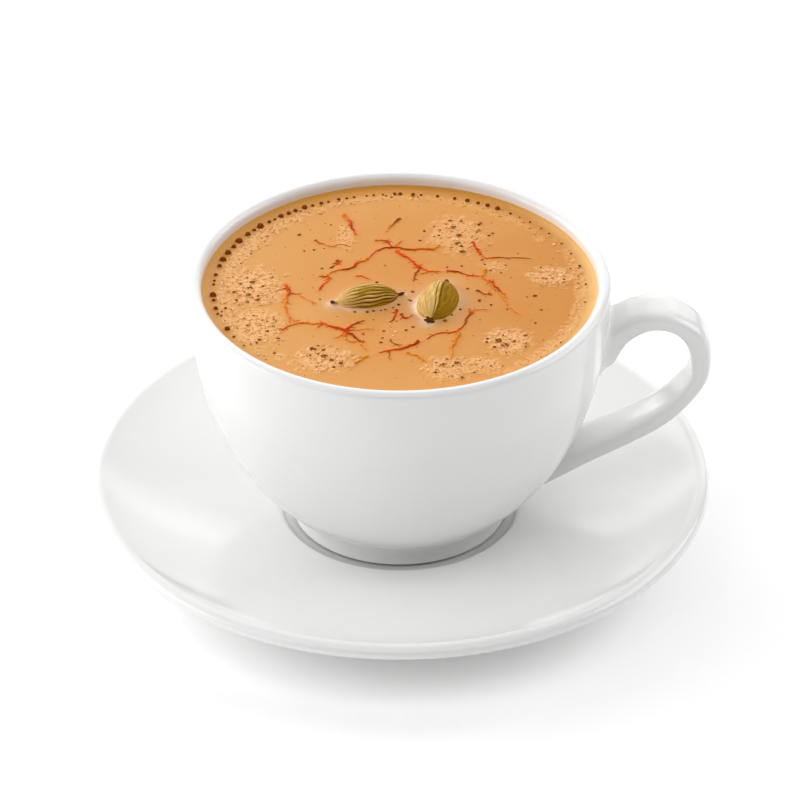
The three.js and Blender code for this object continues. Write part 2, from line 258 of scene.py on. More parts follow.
glaze, tree, shader = new_skin("clear_glaze_on_porcelain", {"IOR": GLAZE_IOR})
place = add_node(tree, "ShaderNodeTexCoord").outputs["Object"]
pooling = noise(tree, place, 42.0, 2.0)
split = add_node(tree, "ShaderNodeSeparateXYZ")
tree.links.new(place, split.inputs["Vector"])
bare = graded(tree, split.outputs["Z"], BARE_CLAY_UP_TO, (0, 1))
glaze_colour = coats(tree, GLAZE_WHITE, [(pooling, GLAZE_SHADOW_WHITE), (bare, BARE_CLAY)])
rough = add_node(tree, "ShaderNodeMix", {"B": BARE_CLAY_ROUGHNESS}, data_type="FLOAT")
wire(
    tree,
    [
        (glaze_colour, shader.inputs["Base Color"]),
        (bare, rough.inputs["Factor"]),
        (graded(tree, pooling, (0, 1), GLAZE_ROUGHNESS), rough.inputs["A"]),
        (rough.outputs["Result"], shader.inputs["Roughness"]),
    ],
)
bump(tree, shader, noise(tree, place, 150.0, 1.0), 0.12, 0.0003)

outer, inner, height = SAUCER_FOOT_RING
foot_root = (outer + 3, height + 0.4)
edge = SAUCER_RADIUS
edge_under = (edge - 2, 15.5)
edge_out = (edge, SAUCER_EDGE_HEIGHT)
crest, crest_height = SAUCER_CREST
well_rim_height = SEAT_HEIGHT + SAUCER_WELL_DEPTH
well_rim = (SAUCER_WELL_RADIUS + 0.8, well_rim_height)
well_foot = (SAUCER_WELL_FOOT, SEAT_HEIGHT)
saucer_outline = joined(
    line((0, height), (inner - 1, height), 6),
    bend((inner - 1, height), (inner, height), (inner, height - 1), 5),
    bend((inner, height - 1), (inner + 0.2, 0), (inner + 1, 0), 6),
    bend((inner + 1, 0), (outer, 0), (outer, 0.8), 6),
    bend((outer, 0.8), (outer + 0.1, height), foot_root, 8),
    bezier(foot_root, (outer + 15, height + 2.1), (edge - 9, 10.6), edge_under, 26),
    bend(edge_under, (edge - 0.1, 15.8), edge_out, 8),
    bezier(edge_out, (edge, 18.1), (crest + 1.3, crest_height), SAUCER_CREST, 14),
    bezier(SAUCER_CREST, (crest - 0.6, crest_height), (crest - 1.1, 18.62), SAUCER_LIP_INSIDE, 8),
    bezier(SAUCER_LIP_INSIDE, *SAUCER_DISH_PULLS, well_rim, 50),
    bend(well_rim, (SAUCER_WELL_RADIUS - 0.4, well_rim_height), well_foot, 8),
    line(well_foot, (0, SEAT_HEIGHT), 10),
)
saucer = piece("porcelain_saucer", *turned(saucer_outline, TURNED_SIDES))
saucer.data.materials.append(glaze)
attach(saucer, "root")
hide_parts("saucer")

# The cup: a porcelain bowl thrown thin at the lip, on a low foot with an undercut, and a strap handle
# luted on while the clay was soft. The joints are smoothed with slip, and the whole is under the same glaze,
# but for the undercut, which is painted near black as the shadow where the foot meets the saucer.
CUP_RADIUS = 52.0
LIP_HEIGHT = 65.8
WALL_AT_LIP = 3.3
WALL_AT_FOOT = 4.2
CUP_FOOT = (26.9, 24.2, 2.0)  # outer and inner radius, depth of the hollow inside
UNDERCUT_DEPTH = 1.8
UNDERCUT_HEIGHT = 0.6
BODY_START = (28.3, 6.2)
BODY_PULLS = [(45.4, 19.1), (51.8, 42.9)]
CUP_FLOOR_HEIGHT = 6.4
# Near-black colours of the foot's undercut: painted shadow, so that the crevice shows as a dark contact
# line.
UNDERCUT_SHADOW_DARK = (0.03, 0.028, 0.025, 1)
UNDERCUT_SHADOW_PALE = (0.09, 0.085, 0.075, 1)
UNDERCUT_SHADOW_ROUGHNESS = 0.8
HANDLE_SECTIONS = [
    # outer edge x, z, inner edge x, z, half width
    (48.9, 54.9, 48.9, 44.3, 9.0),
    (51.7, 56.6, 52.5, 45.5, 7.3),
    (54.3, 58.1, 54.4, 48.6, 6.4),
    (57.8, 59.7, 56.5, 52.0, 6.2),
    (62.8, 60.5, 61.6, 55.1, 6.1),
    (69.6, 58.5, 66.9, 54.5, 6.0),
    (75.8, 53.4, 70.4, 51.0, 6.0),
    (77.1, 45.8, 71.8, 45.6, 6.0),
    (75.2, 38.4, 71.3, 40.1, 6.1),
    (67.4, 28.8, 64.7, 32.2, 6.2),
    (57.7, 22.4, 55.6, 26.4, 6.2),
    (47.5, 16.8, 45.4, 21.4, 6.6),
    (36.5, 10.8, 34.6, 16.4, 8.0),
]
STRAP_STATIONS = 200
STRAP_SIDES = 72
STRAP_SQUARENESS = 3.8
JOINT_FILLET = 1.6


def wall_line(share, clearance, steps):
    """The body's outer curve from foot to lip, moved in along its normal by a share of the wall's thickness
    and a clearance."""
    outer = bezier(BODY_START, *BODY_PULLS, (CUP_RADIUS, LIP_HEIGHT), steps)
    along = np.gradient(outer, axis=0)
    along /= np.linalg.norm(along, axis=1)[:, None]
    wall = np.linspace(WALL_AT_FOOT, WALL_AT_LIP, steps + 1)[:, None]
    return outer + np.stack([-along[:, 1], along[:, 0]], -1) * (share * wall + clearance)


def through(points, steps):
    """Catmull-Rom curve through rows of numbers, blurred over a fifth of a span to round its corners."""
    points = np.array(points, float)
    last = len(points) - 1
    spans = np.linspace(0, last, steps + 1)
    start = np.minimum(spans.astype(int), last - 1)
    t = (spans - start)[:, None]
    a, b, c, d = (points[np.clip(start + shift, 0, last)] for shift in (-1, 0, 1, 2))
    curve = 0.5 * (2 * b + (c - a) * t + (2 * a - 5 * b + 4 * c - d) * t**2 + (3 * b - a - 3 * c + d) * t**3)
    reach = max(1, round(0.4 * steps / last))
    weights = np.exp(-np.linspace(-2, 2, 2 * reach + 1) ** 2 / 2)
    padded = np.pad(curve, ((reach, reach), (0, 0)), mode="reflect", reflect_type="odd")
    blurred = [np.convolve(column, weights / weights.sum(), "valid") for column in padded.T]
    return np.stack(blurred, -1)


def tube(rings):
    """A closed tube from rings, stations by sides of points, with a pole in the middle of each end."""
    points = np.vstack([rings.reshape(-1, 3), rings[0].mean(0), rings[-1].mean(0)])
    return points, *ring_faces(*rings.shape[:2])


def squared(wave):
    """A sine or cosine with its size raised to 2 / squareness: it makes an oval a rounded rectangle."""
    return np.sign(wave) * np.abs(wave) ** (2 / STRAP_SQUARENESS)


outer, inner, hollow = CUP_FOOT
undercut = outer - UNDERCUT_DEPTH
over = UNDERCUT_HEIGHT
cup_foot = joined(
    line((0, hollow), (inner - 1, hollow), 5),
    bend((inner - 1, hollow), (inner, hollow), (inner + 0.2, 0.8), 5),
    bend((inner + 0.2, 0.8), (inner + 0.4, 0), (inner + 1, 0), 4),
    line((inner + 1, 0), (undercut, 0), 2),
    bezier((undercut, 0), (undercut, over), (undercut + 0.4, over), (outer - 0.3, over), 6),
    bend((outer - 0.3, over), (outer, over), (outer, 1.0), 4),
    bezier((outer, 1.0), (outer - 0.7, 3.4), (27.0, 5.3), BODY_START, 12),
)
outer_wall = wall_line(0, 0, 90)
inner_wall = wall_line(1, 0, 70)
lip_radius = WALL_AT_LIP / 2
lip_angle = np.linspace(0, np.pi, 21)[1:-1]
lip_middle = (CUP_RADIUS - lip_radius, LIP_HEIGHT)
lip = lip_middle + lip_radius * np.stack([np.cos(lip_angle), np.sin(lip_angle)], -1)
floor_share = np.linspace(1, 0, 16)[1:]
floor_rise = inner_wall[0, 1] - CUP_FLOOR_HEIGHT
cup_floor = np.stack([floor_share * inner_wall[0, 0], CUP_FLOOR_HEIGHT + floor_rise * floor_share**6], -1)
cup_outline = np.vstack([cup_foot, outer_wall[1:], lip, inner_wall[::-1], cup_floor]) + (0, SEAT_HEIGHT)
cup = piece("porcelain_cup", *turned(cup_outline, TURNED_SIDES))

# The strap's section is carried along the rows of HANDLE_SECTIONS, and flares in a fillet near the wall.
strap = through(HANDLE_SECTIONS, STRAP_STATIONS)
turn = 2 * np.pi * np.arange(STRAP_SIDES) / STRAP_SIDES
strap_middle = (strap[:, :2] + strap[:, 2:4]) / 2
strap_half = (strap[:, :2] - strap[:, 2:4]) / 2
in_plane = strap_half[:, None] * squared(np.cos(turn))[None, :, None]
across = -strap[:, 4, None] * squared(np.sin(turn))[None]
from_middle = np.stack([in_plane[..., 0], across, in_plane[..., 1]], -1)
middles = np.stack([strap_middle[:, 0], 0 * strap_middle[:, 0], strap_middle[:, 1]], -1)[:, None]
strap_points = middles + from_middle
strap_reach = np.stack([np.hypot(strap_points[..., 0], strap_points[..., 1]), strap_points[..., 2]], -1)
to_wall = np.linalg.norm(strap_reach[:, :, None] - wall_line(0, 0, 240)[None, None], axis=-1).min(-1)
wall_radius = np.interp(strap_reach[..., 1], outer_wall[:, 1], outer_wall[:, 0])
to_wall = np.where(strap_reach[..., 0] < wall_radius, 0, to_wall)
close = np.clip(1 - to_wall / JOINT_FILLET, 0, 1)
flare = JOINT_FILLET * (1 - np.sqrt(1 - close**2 * 0.98))
strap_points += from_middle / np.linalg.norm(from_middle, axis=-1, keepdims=True) * flare[..., None]
strap_points[..., 2] += SEAT_HEIGHT
in_wall = np.interp(strap_middle[:, 1], inner_wall[:, 1], inner_wall[:, 0]) + WALL_AT_LIP / 3
kept = np.flatnonzero(strap_middle[:, 0] > in_wall)
handle = piece("handle_strap", *tube(strap_points[kept[0] : kept[-1] + 1]))

luted = cup.modifiers.new("luted_handle", "BOOLEAN")
luted.object = handle
luted.operation = "UNION"
luted.solver = "MANIFOLD"
bpy.context.view_layer.objects.active = cup
bpy.ops.object.modifier_apply(modifier=luted.name)
bpy.data.objects.remove(handle)
cup.data.shade_smooth()
cup.data.materials.clear()
cup.data.materials.append(glaze)

# The undercut's material: a near-black mottle that is painted shadow, not the colour of the clay.
undercut_shadow, tree, shader = new_skin("undercut_painted_shadow", {"Roughness": UNDERCUT_SHADOW_ROUGHNESS})
place = add_node(tree, "ShaderNodeTexCoord").outputs["Object"]
shadow_mottle = coats(tree, UNDERCUT_SHADOW_DARK, [(noise(tree, place, 900.0, 3.0), UNDERCUT_SHADOW_PALE)])
tree.links.new(shadow_mottle, shader.inputs["Base Color"])
cup.data.materials.append(undercut_shadow)

# Only the faces of the foot's undercut take the near-black material, a painted shadow that darkens the line
# where the foot meets the saucer.
face_middles = np.empty(len(cup.data.polygons) * 3)
cup.data.polygons.foreach_get("center", face_middles)
x, y, z = face_middles.reshape(-1, 3).T / MM
from_axis = np.hypot(x, y)
under_foot = (z < SEAT_HEIGHT + UNDERCUT_HEIGHT + 0.02) & (from_axis > inner + 0.3) & (from_axis < outer)
cup.data.polygons.foreach_set("material_index", under_foot.astype(np.int32))
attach(cup, "root")
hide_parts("cup")

# The tea: milky masala chai, filled to about 3 mm below the lip and just into the wall. It creeps up the
# porcelain and the pods, with a painted reflection of the sky on its meniscus beside each pod, has froth in
# patches and along the wall, and is stained orange round the saffron that lies on it. At the wall its
# meniscus carries painted light on the right, and its amber film is laid strongest, as painted shade, at the
# back and left.
CHAI_LEVEL = SEAT_HEIGHT + 64.2
MENISCUS_RISE = 0.6
MENISCUS_WIDTH = 2.2
REACH_INTO_WALL = 0.3
TEA_CELLS = 276
TEA_DEPTH_RINGS = 12
TEA_ROUGHNESS = (0.24, 0.42)
WATER_IOR = 1.33
POD_OUTLINE = [
    # station along the pod and radius, as shares of half its length and width
    (-1.22, 0.08), (-1.16, 0.18), (-1.04, 0.17), (-0.95, 0.3), (-0.72, 0.7), (-0.38, 0.94), (0, 1),
    (0.38, 0.93), (0.72, 0.66), (0.95, 0.27), (1.03, 0.15), (1.12, 0.13), (1.2, 0.05),
]
PODS = {
    # middle on the tea, turn in degrees, half length, width and height, how far the lobes are rolled, how
    # full it is towards its ends, how thick its two stubs are, and how strong the painted reflection on the
    # meniscus beside it is
    "green_pod_left": {
        "centre": (-7.8, -4.7), "turn": 13, "half": (7.7, 4.3, 3.9), "roll": 20, "fullness": 0.95,
        "stubs": (0.4, 0.6), "meniscus_glint": 0.4,
    },
    "green_pod_right": {
        "centre": (9.4, -6.1), "turn": 76, "half": (7.9, 5.0, 4.1), "roll": 90, "fullness": 0.78,
        "stubs": (0.85, 0.6), "meniscus_glint": 1.0,
    },
}
DARK, RED, ORANGE, YELLOW, BROWN, STRAW = range(6)
SAFFRON_STRANDS = [
    # dyes and points [x, y] on the tea, both from the thick end to the tip, and the half width
    ((YELLOW, ORANGE, DARK, DARK, DARK, RED, RED),
     [(8.8, 18.8), (6.6, 18.8), (1.9, 18.7), (-1.5, 19.7), (-4.0, 19.1), (-5.8, 17.7),
      (-7.6, 14.8)], 0.34),
    ((YELLOW, ORANGE), [(9.8, 20.2), (8.3, 18.8)], 0.30),
    ((ORANGE, YELLOW, RED, DARK, DARK, ORANGE, YELLOW, YELLOW, BROWN),
     [(-7.6, 14.8), (-8.9, 13.4), (-10.5, 12.1), (-11.5, 10.4), (-13.5, 9.0), (-15.1, 9.3), (-16.9, 7.8),
      (-18.1, 6.3), (-20.1, 6.1)], 0.36),
    ((RED, ORANGE, DARK, RED), [(-17.6, 6.0), (-17.8, 4.1), (-19.3, 1.2), (-19.9, -0.5)], 0.30),
    ((BROWN, STRAW, STRAW, BROWN),
     [(-21.1, 23.2), (-19.3, 21.4), (-17.3, 20.4), (-14.3, 20.9), (-12.0, 19.7)], 0.24),
    ((STRAW, ORANGE, DARK, DARK, ORANGE),
     [(-14.0, 35.1), (-12.8, 32.7), (-12.1, 29.9), (-11.5, 27.5), (-11.0, 25.1)], 0.42),
    ((BROWN, BROWN, YELLOW, YELLOW), [(0.2, 33.3), (-1.2, 31.3), (-2.6, 28.9), (-3.0, 27.0)], 0.32),
    ((STRAW, ORANGE, DARK, RED),
     [(-6.1, 23.1), (-4.4, 23.0), (-3.1, 22.5), (-2.3, 20.9), (-1.5, 19.8)], 0.28),
    ((STRAW, ORANGE), [(0.5, 22.8), (-1.2, 20.2)], 0.22),
    ((ORANGE, RED, RED, RED, ORANGE, ORANGE, YELLOW),
     [(-0.9, 18.3), (0.1, 16.7), (2.1, 14.5), (4.3, 11.4), (6.5, 8.9), (8.7, 8.3), (10.5, 8.3)], 0.38),
    ((ORANGE, DARK, DARK, RED, RED),
     [(11.5, 8.5), (12.7, 8.6), (14.2, 8.3), (15.8, 7.2), (17.6, 6.6), (19.8, 6.1)], 0.33),
    ((RED, BROWN, BROWN, ORANGE), [(4.9, 10.4), (4.2, 7.6), (3.6, 5.3), (3.3, 3.9)], 0.32),
    ((STRAW, ORANGE), [(5.0, 7.4), (8.4, 8.9)], 0.20),
    ((ORANGE, RED, RED), [(-10.7, 6.4), (-8.9, 5.8), (-7.3, 4.8)], 0.24),
    ((YELLOW, YELLOW), [(21.2, 9.0), (20.6, 6.2)], 0.50),
    ((ORANGE, STRAW, YELLOW, STRAW, STRAW),
     [(20.1, 6.7), (21.9, 3.5), (24.3, -1.1), (25.8, -5.0), (27.2, -8.6), (29.6, -11.4)], 0.24),
    ((RED, RED, DARK, ORANGE, YELLOW),
     [(21.8, 4.4), (23.2, 2.1), (24.3, 0.0), (25.4, -1.4), (26.1, -4.1)], 0.34),
    ((BROWN, BROWN, RED, DARK), [(18.8, -0.3), (20.0, -1.1), (21.2, -2.0), (22.4, -1.6)], 0.28),
    ((DARK, RED, RED, DARK, ORANGE, ORANGE, BROWN, BROWN, BROWN),
     [(17.9, 22.1), (18.7, 20.2), (19.1, 18.9), (19.8, 17.4), (20.4, 15.7), (21.7, 14.7), (25.1, 14.9),
      (28.2, 14.8), (32.8, 14.4)], 0.28),
    ((YELLOW, ORANGE, STRAW), [(16.9, -8.6), (17.7, -9.5), (18.7, -9.1), (21.7, -9.1)], 0.24),
    ((ORANGE, BROWN, BROWN, RED, RED, RED, BROWN, BROWN),
     [(17.7, -9.6), (17.2, -11.4), (16.2, -13.6), (15.4, -16.8), (14.0, -18.6), (11.5, -19.6),
      (8.9, -19.9), (7.6, -21.4), (6.4, -22.4)], 0.30),
    ((YELLOW, YELLOW, YELLOW), [(14.4, -19.5), (13.7, -22.6), (12.7, -25.8), (12.5, -31.5)], 0.42),
    ((DARK, DARK, RED, RED, ORANGE),
     [(4.7, -23.4), (3.4, -24.9), (1.6, -26.1), (-2.1, -27.5), (-5.1, -28.3)], 0.44),
    ((YELLOW, YELLOW, BROWN), [(-7.6, -29.8), (-9.5, -31.8), (-10.8, -33.3)], 0.36),
    ((BROWN, ORANGE), [(-2.3, -27.8), (-2.7, -29.8), (-2.5, -31.3)], 0.22),
    ((BROWN, BROWN, YELLOW), [(-2.2, -22.4), (-1.5, -24.3), (-0.2, -24.9), (1.3, -24.9)], 0.20),
    ((STRAW, YELLOW, YELLOW, STRAW), [(1.6, -28.4), (4.5, -29.8), (5.4, -31.5), (6.9, -32.7)], 0.28),
    ((RED, BROWN, BROWN), [(-12.8, -18.2), (-11.2, -15.7), (-10.0, -15.0), (-8.4, -14.1)], 0.34),
    ((ORANGE, STRAW), [(-12.0, -18.5), (-6.4, -17.8)], 0.16),
    ((RED, DARK, BROWN, ORANGE),
     [(-13.0, -18.4), (-12.0, -19.9), (-10.8, -21.7), (-9.6, -22.9), (-8.6, -24.0)], 0.42),
    ((ORANGE, YELLOW, YELLOW, STRAW),
     [(-13.3, -19.9), (-13.1, -22.4), (-11.8, -23.5), (-9.8, -23.1)], 0.30),
    ((YELLOW, STRAW), [(-9.3, -24.9), (-7.9, -27.1)], 0.26),
    ((DARK, RED, RED, ORANGE, YELLOW, ORANGE, STRAW, RED, DARK),
     [(-12.8, -18.7), (-14.8, -17.6), (-16.7, -16.6), (-18.9, -15.4), (-20.9, -15.4), (-24.0, -15.2),
      (-25.4, -15.5), (-27.4, -17.0), (-28.8, -18.4)], 0.36),
    ((RED, ORANGE), [(-19.1, -15.2), (-20.1, -17.4)], 0.28),
    ((ORANGE, ORANGE), [(-13.2, -19.5), (-14.9, -21.7)], 0.28),
    ((ORANGE, DARK, ORANGE, YELLOW, ORANGE, STRAW, ORANGE),
     [(-28.4, 2.8), (-27.0, -0.5), (-27.6, -3.4), (-27.9, -6.3), (-27.8, -8.7), (-27.2, -11.2),
      (-26.6, -15.9)], 0.36),
    ((STRAW, YELLOW), [(-26.5, -12.5), (-25.5, -14.3), (-24.2, -15.1)], 0.26),
    ((BROWN, STRAW, STRAW, DARK), [(-26.6, -1.7), (-24.4, -2.6), (-22.3, -4.8), (-20.9, -6.8)], 0.20),
    ((DARK, RED, BROWN, DARK), [(-0.7, -9.2), (-1.1, -11.4), (-1.3, -13.4), (-2.6, -14.8)], 0.32),
    ((BROWN, DARK, DARK, RED), [(0.1, -11.2), (0.9, -12.3), (1.7, -13.0), (3.3, -11.4)], 0.26),
]
STAIN_REACH = 0.8
FROTH_PATCHES = [
    # middle x, y, half width, half length, how thick the froth lies
    (-36.2, 1.2, 7.6, 9.5, 1.0),
    (-34.4, -17.5, 6.2, 9.5, 0.9),
    (-18.2, -31.6, 7.8, 6.0, 0.9),
    (11.9, -35.5, 6.2, 5.6, 0.85),
    (20.3, -34.2, 4.6, 4.2, 0.75),
    (26.3, -23.5, 6.0, 6.2, 1.0),
    (37.8, 6.0, 7.0, 4.6, 0.9),
    (14.1, 25.0, 7.5, 9.5, 0.6),
    (-13.3, 24.2, 2.4, 6.4, 0.6),
    (23.6, 10.2, 3.4, 3.2, 0.45),
    (-1.5, -17.6, 3.4, 4.4, 0.12),
    (34.7, 23.7, 1.6, 2.0, 0.5),
    (-28.8, -30.6, 2.0, 1.8, 0.5),
]
FROTH_BANDS = [
    # middle angle, half spread in degrees, radius, half width, how thick the froth lies
    (152, 38, 42.6, 3.2, 0.75),
    (200, 26, 43.2, 2.4, 0.6),
    (100, 42, 43.6, 1.8, 0.45),
    (60, 26, 43.4, 2.2, 0.35),
    (2, 30, 44.6, 2.0, 0.55),
    (-34, 24, 45.0, 2.2, 0.6),
]
FROTH_EDGE = 46.6
FROTH_SHARE = 0.7
# Width and side of the painted reflection of the sky on the tea's meniscus beside the pods.
GLINT_WIDTH = 1.35
GLINT_SIDE = 207
# Along the wall, the amber line is the tea's own film on the porcelain, laid strongest at the back and left
# as painted shade. The pale band is painted light where the meniscus on the right is lit.
RIM_BANDS = [
    # angle in degrees, strength and width of the amber line, and of the painted light on the meniscus
    (-180, 0.8, 0.8, 0, 1),
    (-135, 0.7, 0.6, 0, 1),
    (-95, 0.55, 0.45, 0, 1),
    (-70, 0.3, 0.4, 0.15, 2.0),
    (-35, 0, 0.4, 0.55, 2.6),
    (0, 0, 0.4, 0.9, 3.0),
    (30, 0.25, 0.4, 0.7, 2.2),
    (55, 0.7, 0.6, 0.3, 1.4),
    (75, 0.8, 0.9, 0, 1),
    (95, 0.8, 0.9, 0, 1),
    (125, 0.8, 1.1, 0, 1),
    (155, 0.75, 1.0, 0, 1),
    (180, 0.75, 0.9, 0, 1),
]


def shade(red, green, blue):
    """A colour seen on a screen, 0 to 255, as the linear colour that the shader takes."""
    part = np.array([red, green, blue]) / 255
    linear = np.where(part <= 0.04045, part / 12.92, ((part + 0.055) / 1.055) ** 2.4)
    return (*linear.tolist(), 1)


TEA_MAIN = shade(208, 137, 55)
TEA_PALE = shade(219, 158, 85)
TEA_DEEP_AND_SHADED = shade(199, 128, 41)
TEA_FROTH = shade(242, 187, 126)
TEA_FROTH_GAP = shade(180, 112, 46)
TEA_STAIN = shade(218, 122, 26)
TEA_HALO = shade(216, 166, 112)
MENISCUS_GLINT_COLOUR = shade(246, 222, 194)
RIM_AMBER = shade(208, 148, 56)
RIM_PAINTED_LIGHT = shade(240, 190, 116)

# The strands' paths come first, because the tea is stained along them. Each sways a little.
draw = np.random.default_rng(7)
strand_paths = []
for _, points, half_width in SAFFRON_STRANDS:
    path = through(points, 72)
    length = np.linalg.norm(np.diff(path, axis=0), axis=1).sum()
    share = np.linspace(0, 1, len(path))
    sway = sum(np.sin(2 * np.pi * (length / size * share + draw.random())) * size for size in (1.9, 4.3))
    sideways = np.gradient(path, axis=0)[:, ::-1] * (-1, 1)
    sideways /= np.linalg.norm(sideways, axis=1)[:, None]
    strand_paths.append(path + 0.04 * (sway * np.sin(np.pi * share) ** 0.5)[:, None] * sideways)

inner_radius = np.interp(CHAI_LEVEL - SEAT_HEIGHT, inner_wall[:, 1], inner_wall[:, 0])


def swell(x, y, size, seed):
    """Smooth random field from about -1 to 1: fourteen sine waves of about one size, each its own way."""
    rule = np.random.default_rng(seed)
    heading = rule.uniform(0, 2 * np.pi, 14)
    wave = 2 * np.pi / (size * rule.uniform(0.7, 1.5, 14))
    start = rule.uniform(0, 2 * np.pi, 14)
    phase = (np.multiply.outer(x, np.cos(heading)) + np.multiply.outer(y, np.sin(heading))) * wave + start
    return np.sin(phase).sum(-1) / 5.3


def froth_cover(x, y):
    """Thickness of froth from 0 to 1: the thickest of the patches, which are ellipses, and the bands, which
    are arcs, each fading out over its outer half with a ragged edge."""
    ragged = 0.22 * swell(x, y, 3.0, 3) + 0.16 * swell(x, y, 1.3, 4)
    cover = np.zeros_like(x)
    for middle_x, middle_y, half_width, half_length, thickness in FROTH_PATCHES:
        out = np.hypot((x - middle_x) / half_width, (y - middle_y) / half_length) + ragged
        cover = np.maximum(cover, thickness * np.clip((1.08 - out) / 0.5, 0, 1))
    angle = np.degrees(np.arctan2(y, x))
    for middle, spread, radius, half_width, thickness in FROTH_BANDS:
        off = (angle - middle + 180) % 360 - 180
        out = np.hypot(off / spread, (np.hypot(x, y) - radius) / half_width) + ragged
        cover = np.maximum(cover, thickness * np.clip((1.05 - out) / 0.5, 0, 1))
    return cover * np.clip((FROTH_EDGE - np.hypot(x, y)) / 0.8, 0, 1)


def beside_pod(pod, x, y):
    """Distance in mm from a pod's waterline, less than 0 inside it: the offset from its axis less the pod's
    own radius at that station, and past its ends the distance from the end."""
    turn = math.radians(pod["turn"])
    half_length, half_width, _ = pod["half"]
    from_x = x - pod["centre"][0]
    from_y = y - pod["centre"][1]
    station = (from_x * math.cos(turn) + from_y * math.sin(turn)) / half_length
    offset = (from_y * math.cos(turn) - from_x * math.sin(turn)) / half_width
    stations, radii = np.array(POD_OUTLINE).T
    beside = (np.abs(offset) - np.interp(station, stations, radii)) * half_width
    past = np.maximum(np.abs(station) - 1.2, 0) * half_length
    return np.where(past > 0, np.hypot(past, np.maximum(beside, 0)), beside)


def tea_height(x, y):
    """Level, plus the rise 0.6 (1 - s)^3.8 at share s of the meniscus, a rise of 0.4 e^(-2d) at distance d
    from a pod, a swell of 0.2 under froth, and a slow swell of 0.04 all over."""
    to_wall = np.clip((inner_radius - np.hypot(x, y)) / MENISCUS_WIDTH, 0, 1)
    creep = MENISCUS_RISE * (1 - to_wall) ** 3.8
    height = CHAI_LEVEL + creep + 0.2 * froth_cover(x, y) + 0.04 * swell(x, y, 14, 5)
    for pod in PODS.values():
        height += 0.4 * np.exp(-2 * np.maximum(beside_pod(pod, x, y), 0))
    return height


def paint(made, name, values):
    """Numbers, vectors or colours kept on a piece's points under a name, for its material to read."""
    values = np.ascontiguousarray(values, np.float32)
    width = values.shape[1] if values.ndim > 1 else 1
    kind, key = {1: ("FLOAT", "value"), 3: ("FLOAT_VECTOR", "vector"), 4: ("FLOAT_COLOR", "color")}[width]
    made.data.attributes.new(name, kind, "POINT").data.foreach_set(key, values.ravel())


def painted(tree, name, output="Fac"):
    """The socket that gives what is painted on the points under a name."""
    return add_node(tree, "ShaderNodeAttribute", attribute_name=name).outputs[output]


def spread_mask(tree, source, low, high, share=1.0):
    """A mask that rises smoothly from 0 where the source is at low to its full share at high."""
    return graded(tree, source, (low, high), (0, share), "SMOOTHSTEP")


# The top is a square grid bent into circles: radius max(|u|, |v|), angle a quarter turn times v/u.
u, v = np.meshgrid(np.linspace(-1, 1, TEA_CELLS + 1), np.linspace(-1, 1, TEA_CELLS + 1))
mostly_x = np.abs(u) > np.abs(v)
reach = np.where(mostly_x, u, v)
angle = np.where(
    mostly_x,
    np.pi / 4 * v / np.where(u == 0, 1, u),
    np.pi / 2 - np.pi / 4 * u / np.where(v == 0, 1, v),
)
top_x = (reach * np.cos(angle) * (inner_radius + REACH_INTO_WALL)).ravel()
top_y = (reach * np.sin(angle) * (inner_radius + REACH_INTO_WALL)).ravel()
top_z = tea_height(top_x, top_y)
froth = froth_cover(top_x, top_y)

# Stained and lifted by the strands, painted with a reflection of the sky beside the pods, and hollow under
# them.
stain = np.zeros_like(top_x)
to_strand = np.full_like(top_x, 99.0)
for (dyes, _, half_width), path in zip(SAFFRON_STRANDS, strand_paths):
    apart = np.hypot(top_x[:, None] - path[::3, 0], top_y[:, None] - path[::3, 1]).min(1)
    strength = 0.2 if BROWN in dyes else 0.4
    stain = np.maximum(stain, strength * np.exp(-((np.maximum(apart - half_width, 0) / STAIN_REACH) ** 1.3)))
    to_strand = np.minimum(to_strand, apart)
top_z += 0.12 * np.exp(-to_strand / 0.5)
to_pods = np.full_like(top_x, 99.0)
meniscus_glint = np.zeros_like(top_x)
for pod in PODS.values():
    off_pod = beside_pod(pod, top_x, top_y)
    to_pods = np.minimum(to_pods, off_pod)
    # Beside each pod, on its left-front side, a white painted reflection of the sky on the tea's meniscus,
    # fading outwards.
    way_round = np.arctan2(top_y - pod["centre"][1], top_x - pod["centre"][0])
    facing = np.clip(np.cos(way_round - math.radians(GLINT_SIDE)) * 1.6 - 0.5, 0, 1)
    spread = np.exp(-((np.maximum(off_pod, 0) / GLINT_WIDTH) ** 2))
    meniscus_glint = np.maximum(meniscus_glint, pod["meniscus_glint"] * facing * spread)
    inside = np.clip(-(off_pod + 0.5) / pod["half"][1], 0, 1)
    top_z -= (pod["half"][2] + 0.6) * np.sqrt(inside)

# Below the top, rings follow the inside of the wall down to a pole on the cup's floor.
grid = np.arange((TEA_CELLS + 1) ** 2).reshape(TEA_CELLS + 1, TEA_CELLS + 1)
top_faces = np.stack([grid[:-1, :-1], grid[:-1, 1:], grid[1:, 1:], grid[1:, :-1]], -1).reshape(-1, 4)
brink = np.concatenate([grid[0, :-1], grid[:-1, -1], grid[-1, :0:-1], grid[:0:-1, 0]])
into_wall = wall_line(1, -REACH_INTO_WALL, 120)
below = np.linspace(CHAI_LEVEL - SEAT_HEIGHT - 0.8, into_wall[0, 1], TEA_DEPTH_RINGS)
ring_radius = np.interp(below, into_wall[:, 1], into_wall[:, 0])
ring_way = np.stack([top_x[brink], top_y[brink]], -1) / (inner_radius + REACH_INTO_WALL)
ring_flat = ring_radius[:, None, None] * ring_way[None]
ring_high = np.broadcast_to(below[:, None, None] + SEAT_HEIGHT, (TEA_DEPTH_RINGS, len(brink), 1))
rings = np.concatenate([ring_flat, ring_high], -1).reshape(-1, 3)
lower = grid.size + np.arange(TEA_DEPTH_RINGS)[:, None] * len(brink) + np.arange(len(brink))
loops = np.vstack([brink[None], lower])
after = np.roll(loops, -1, axis=1)
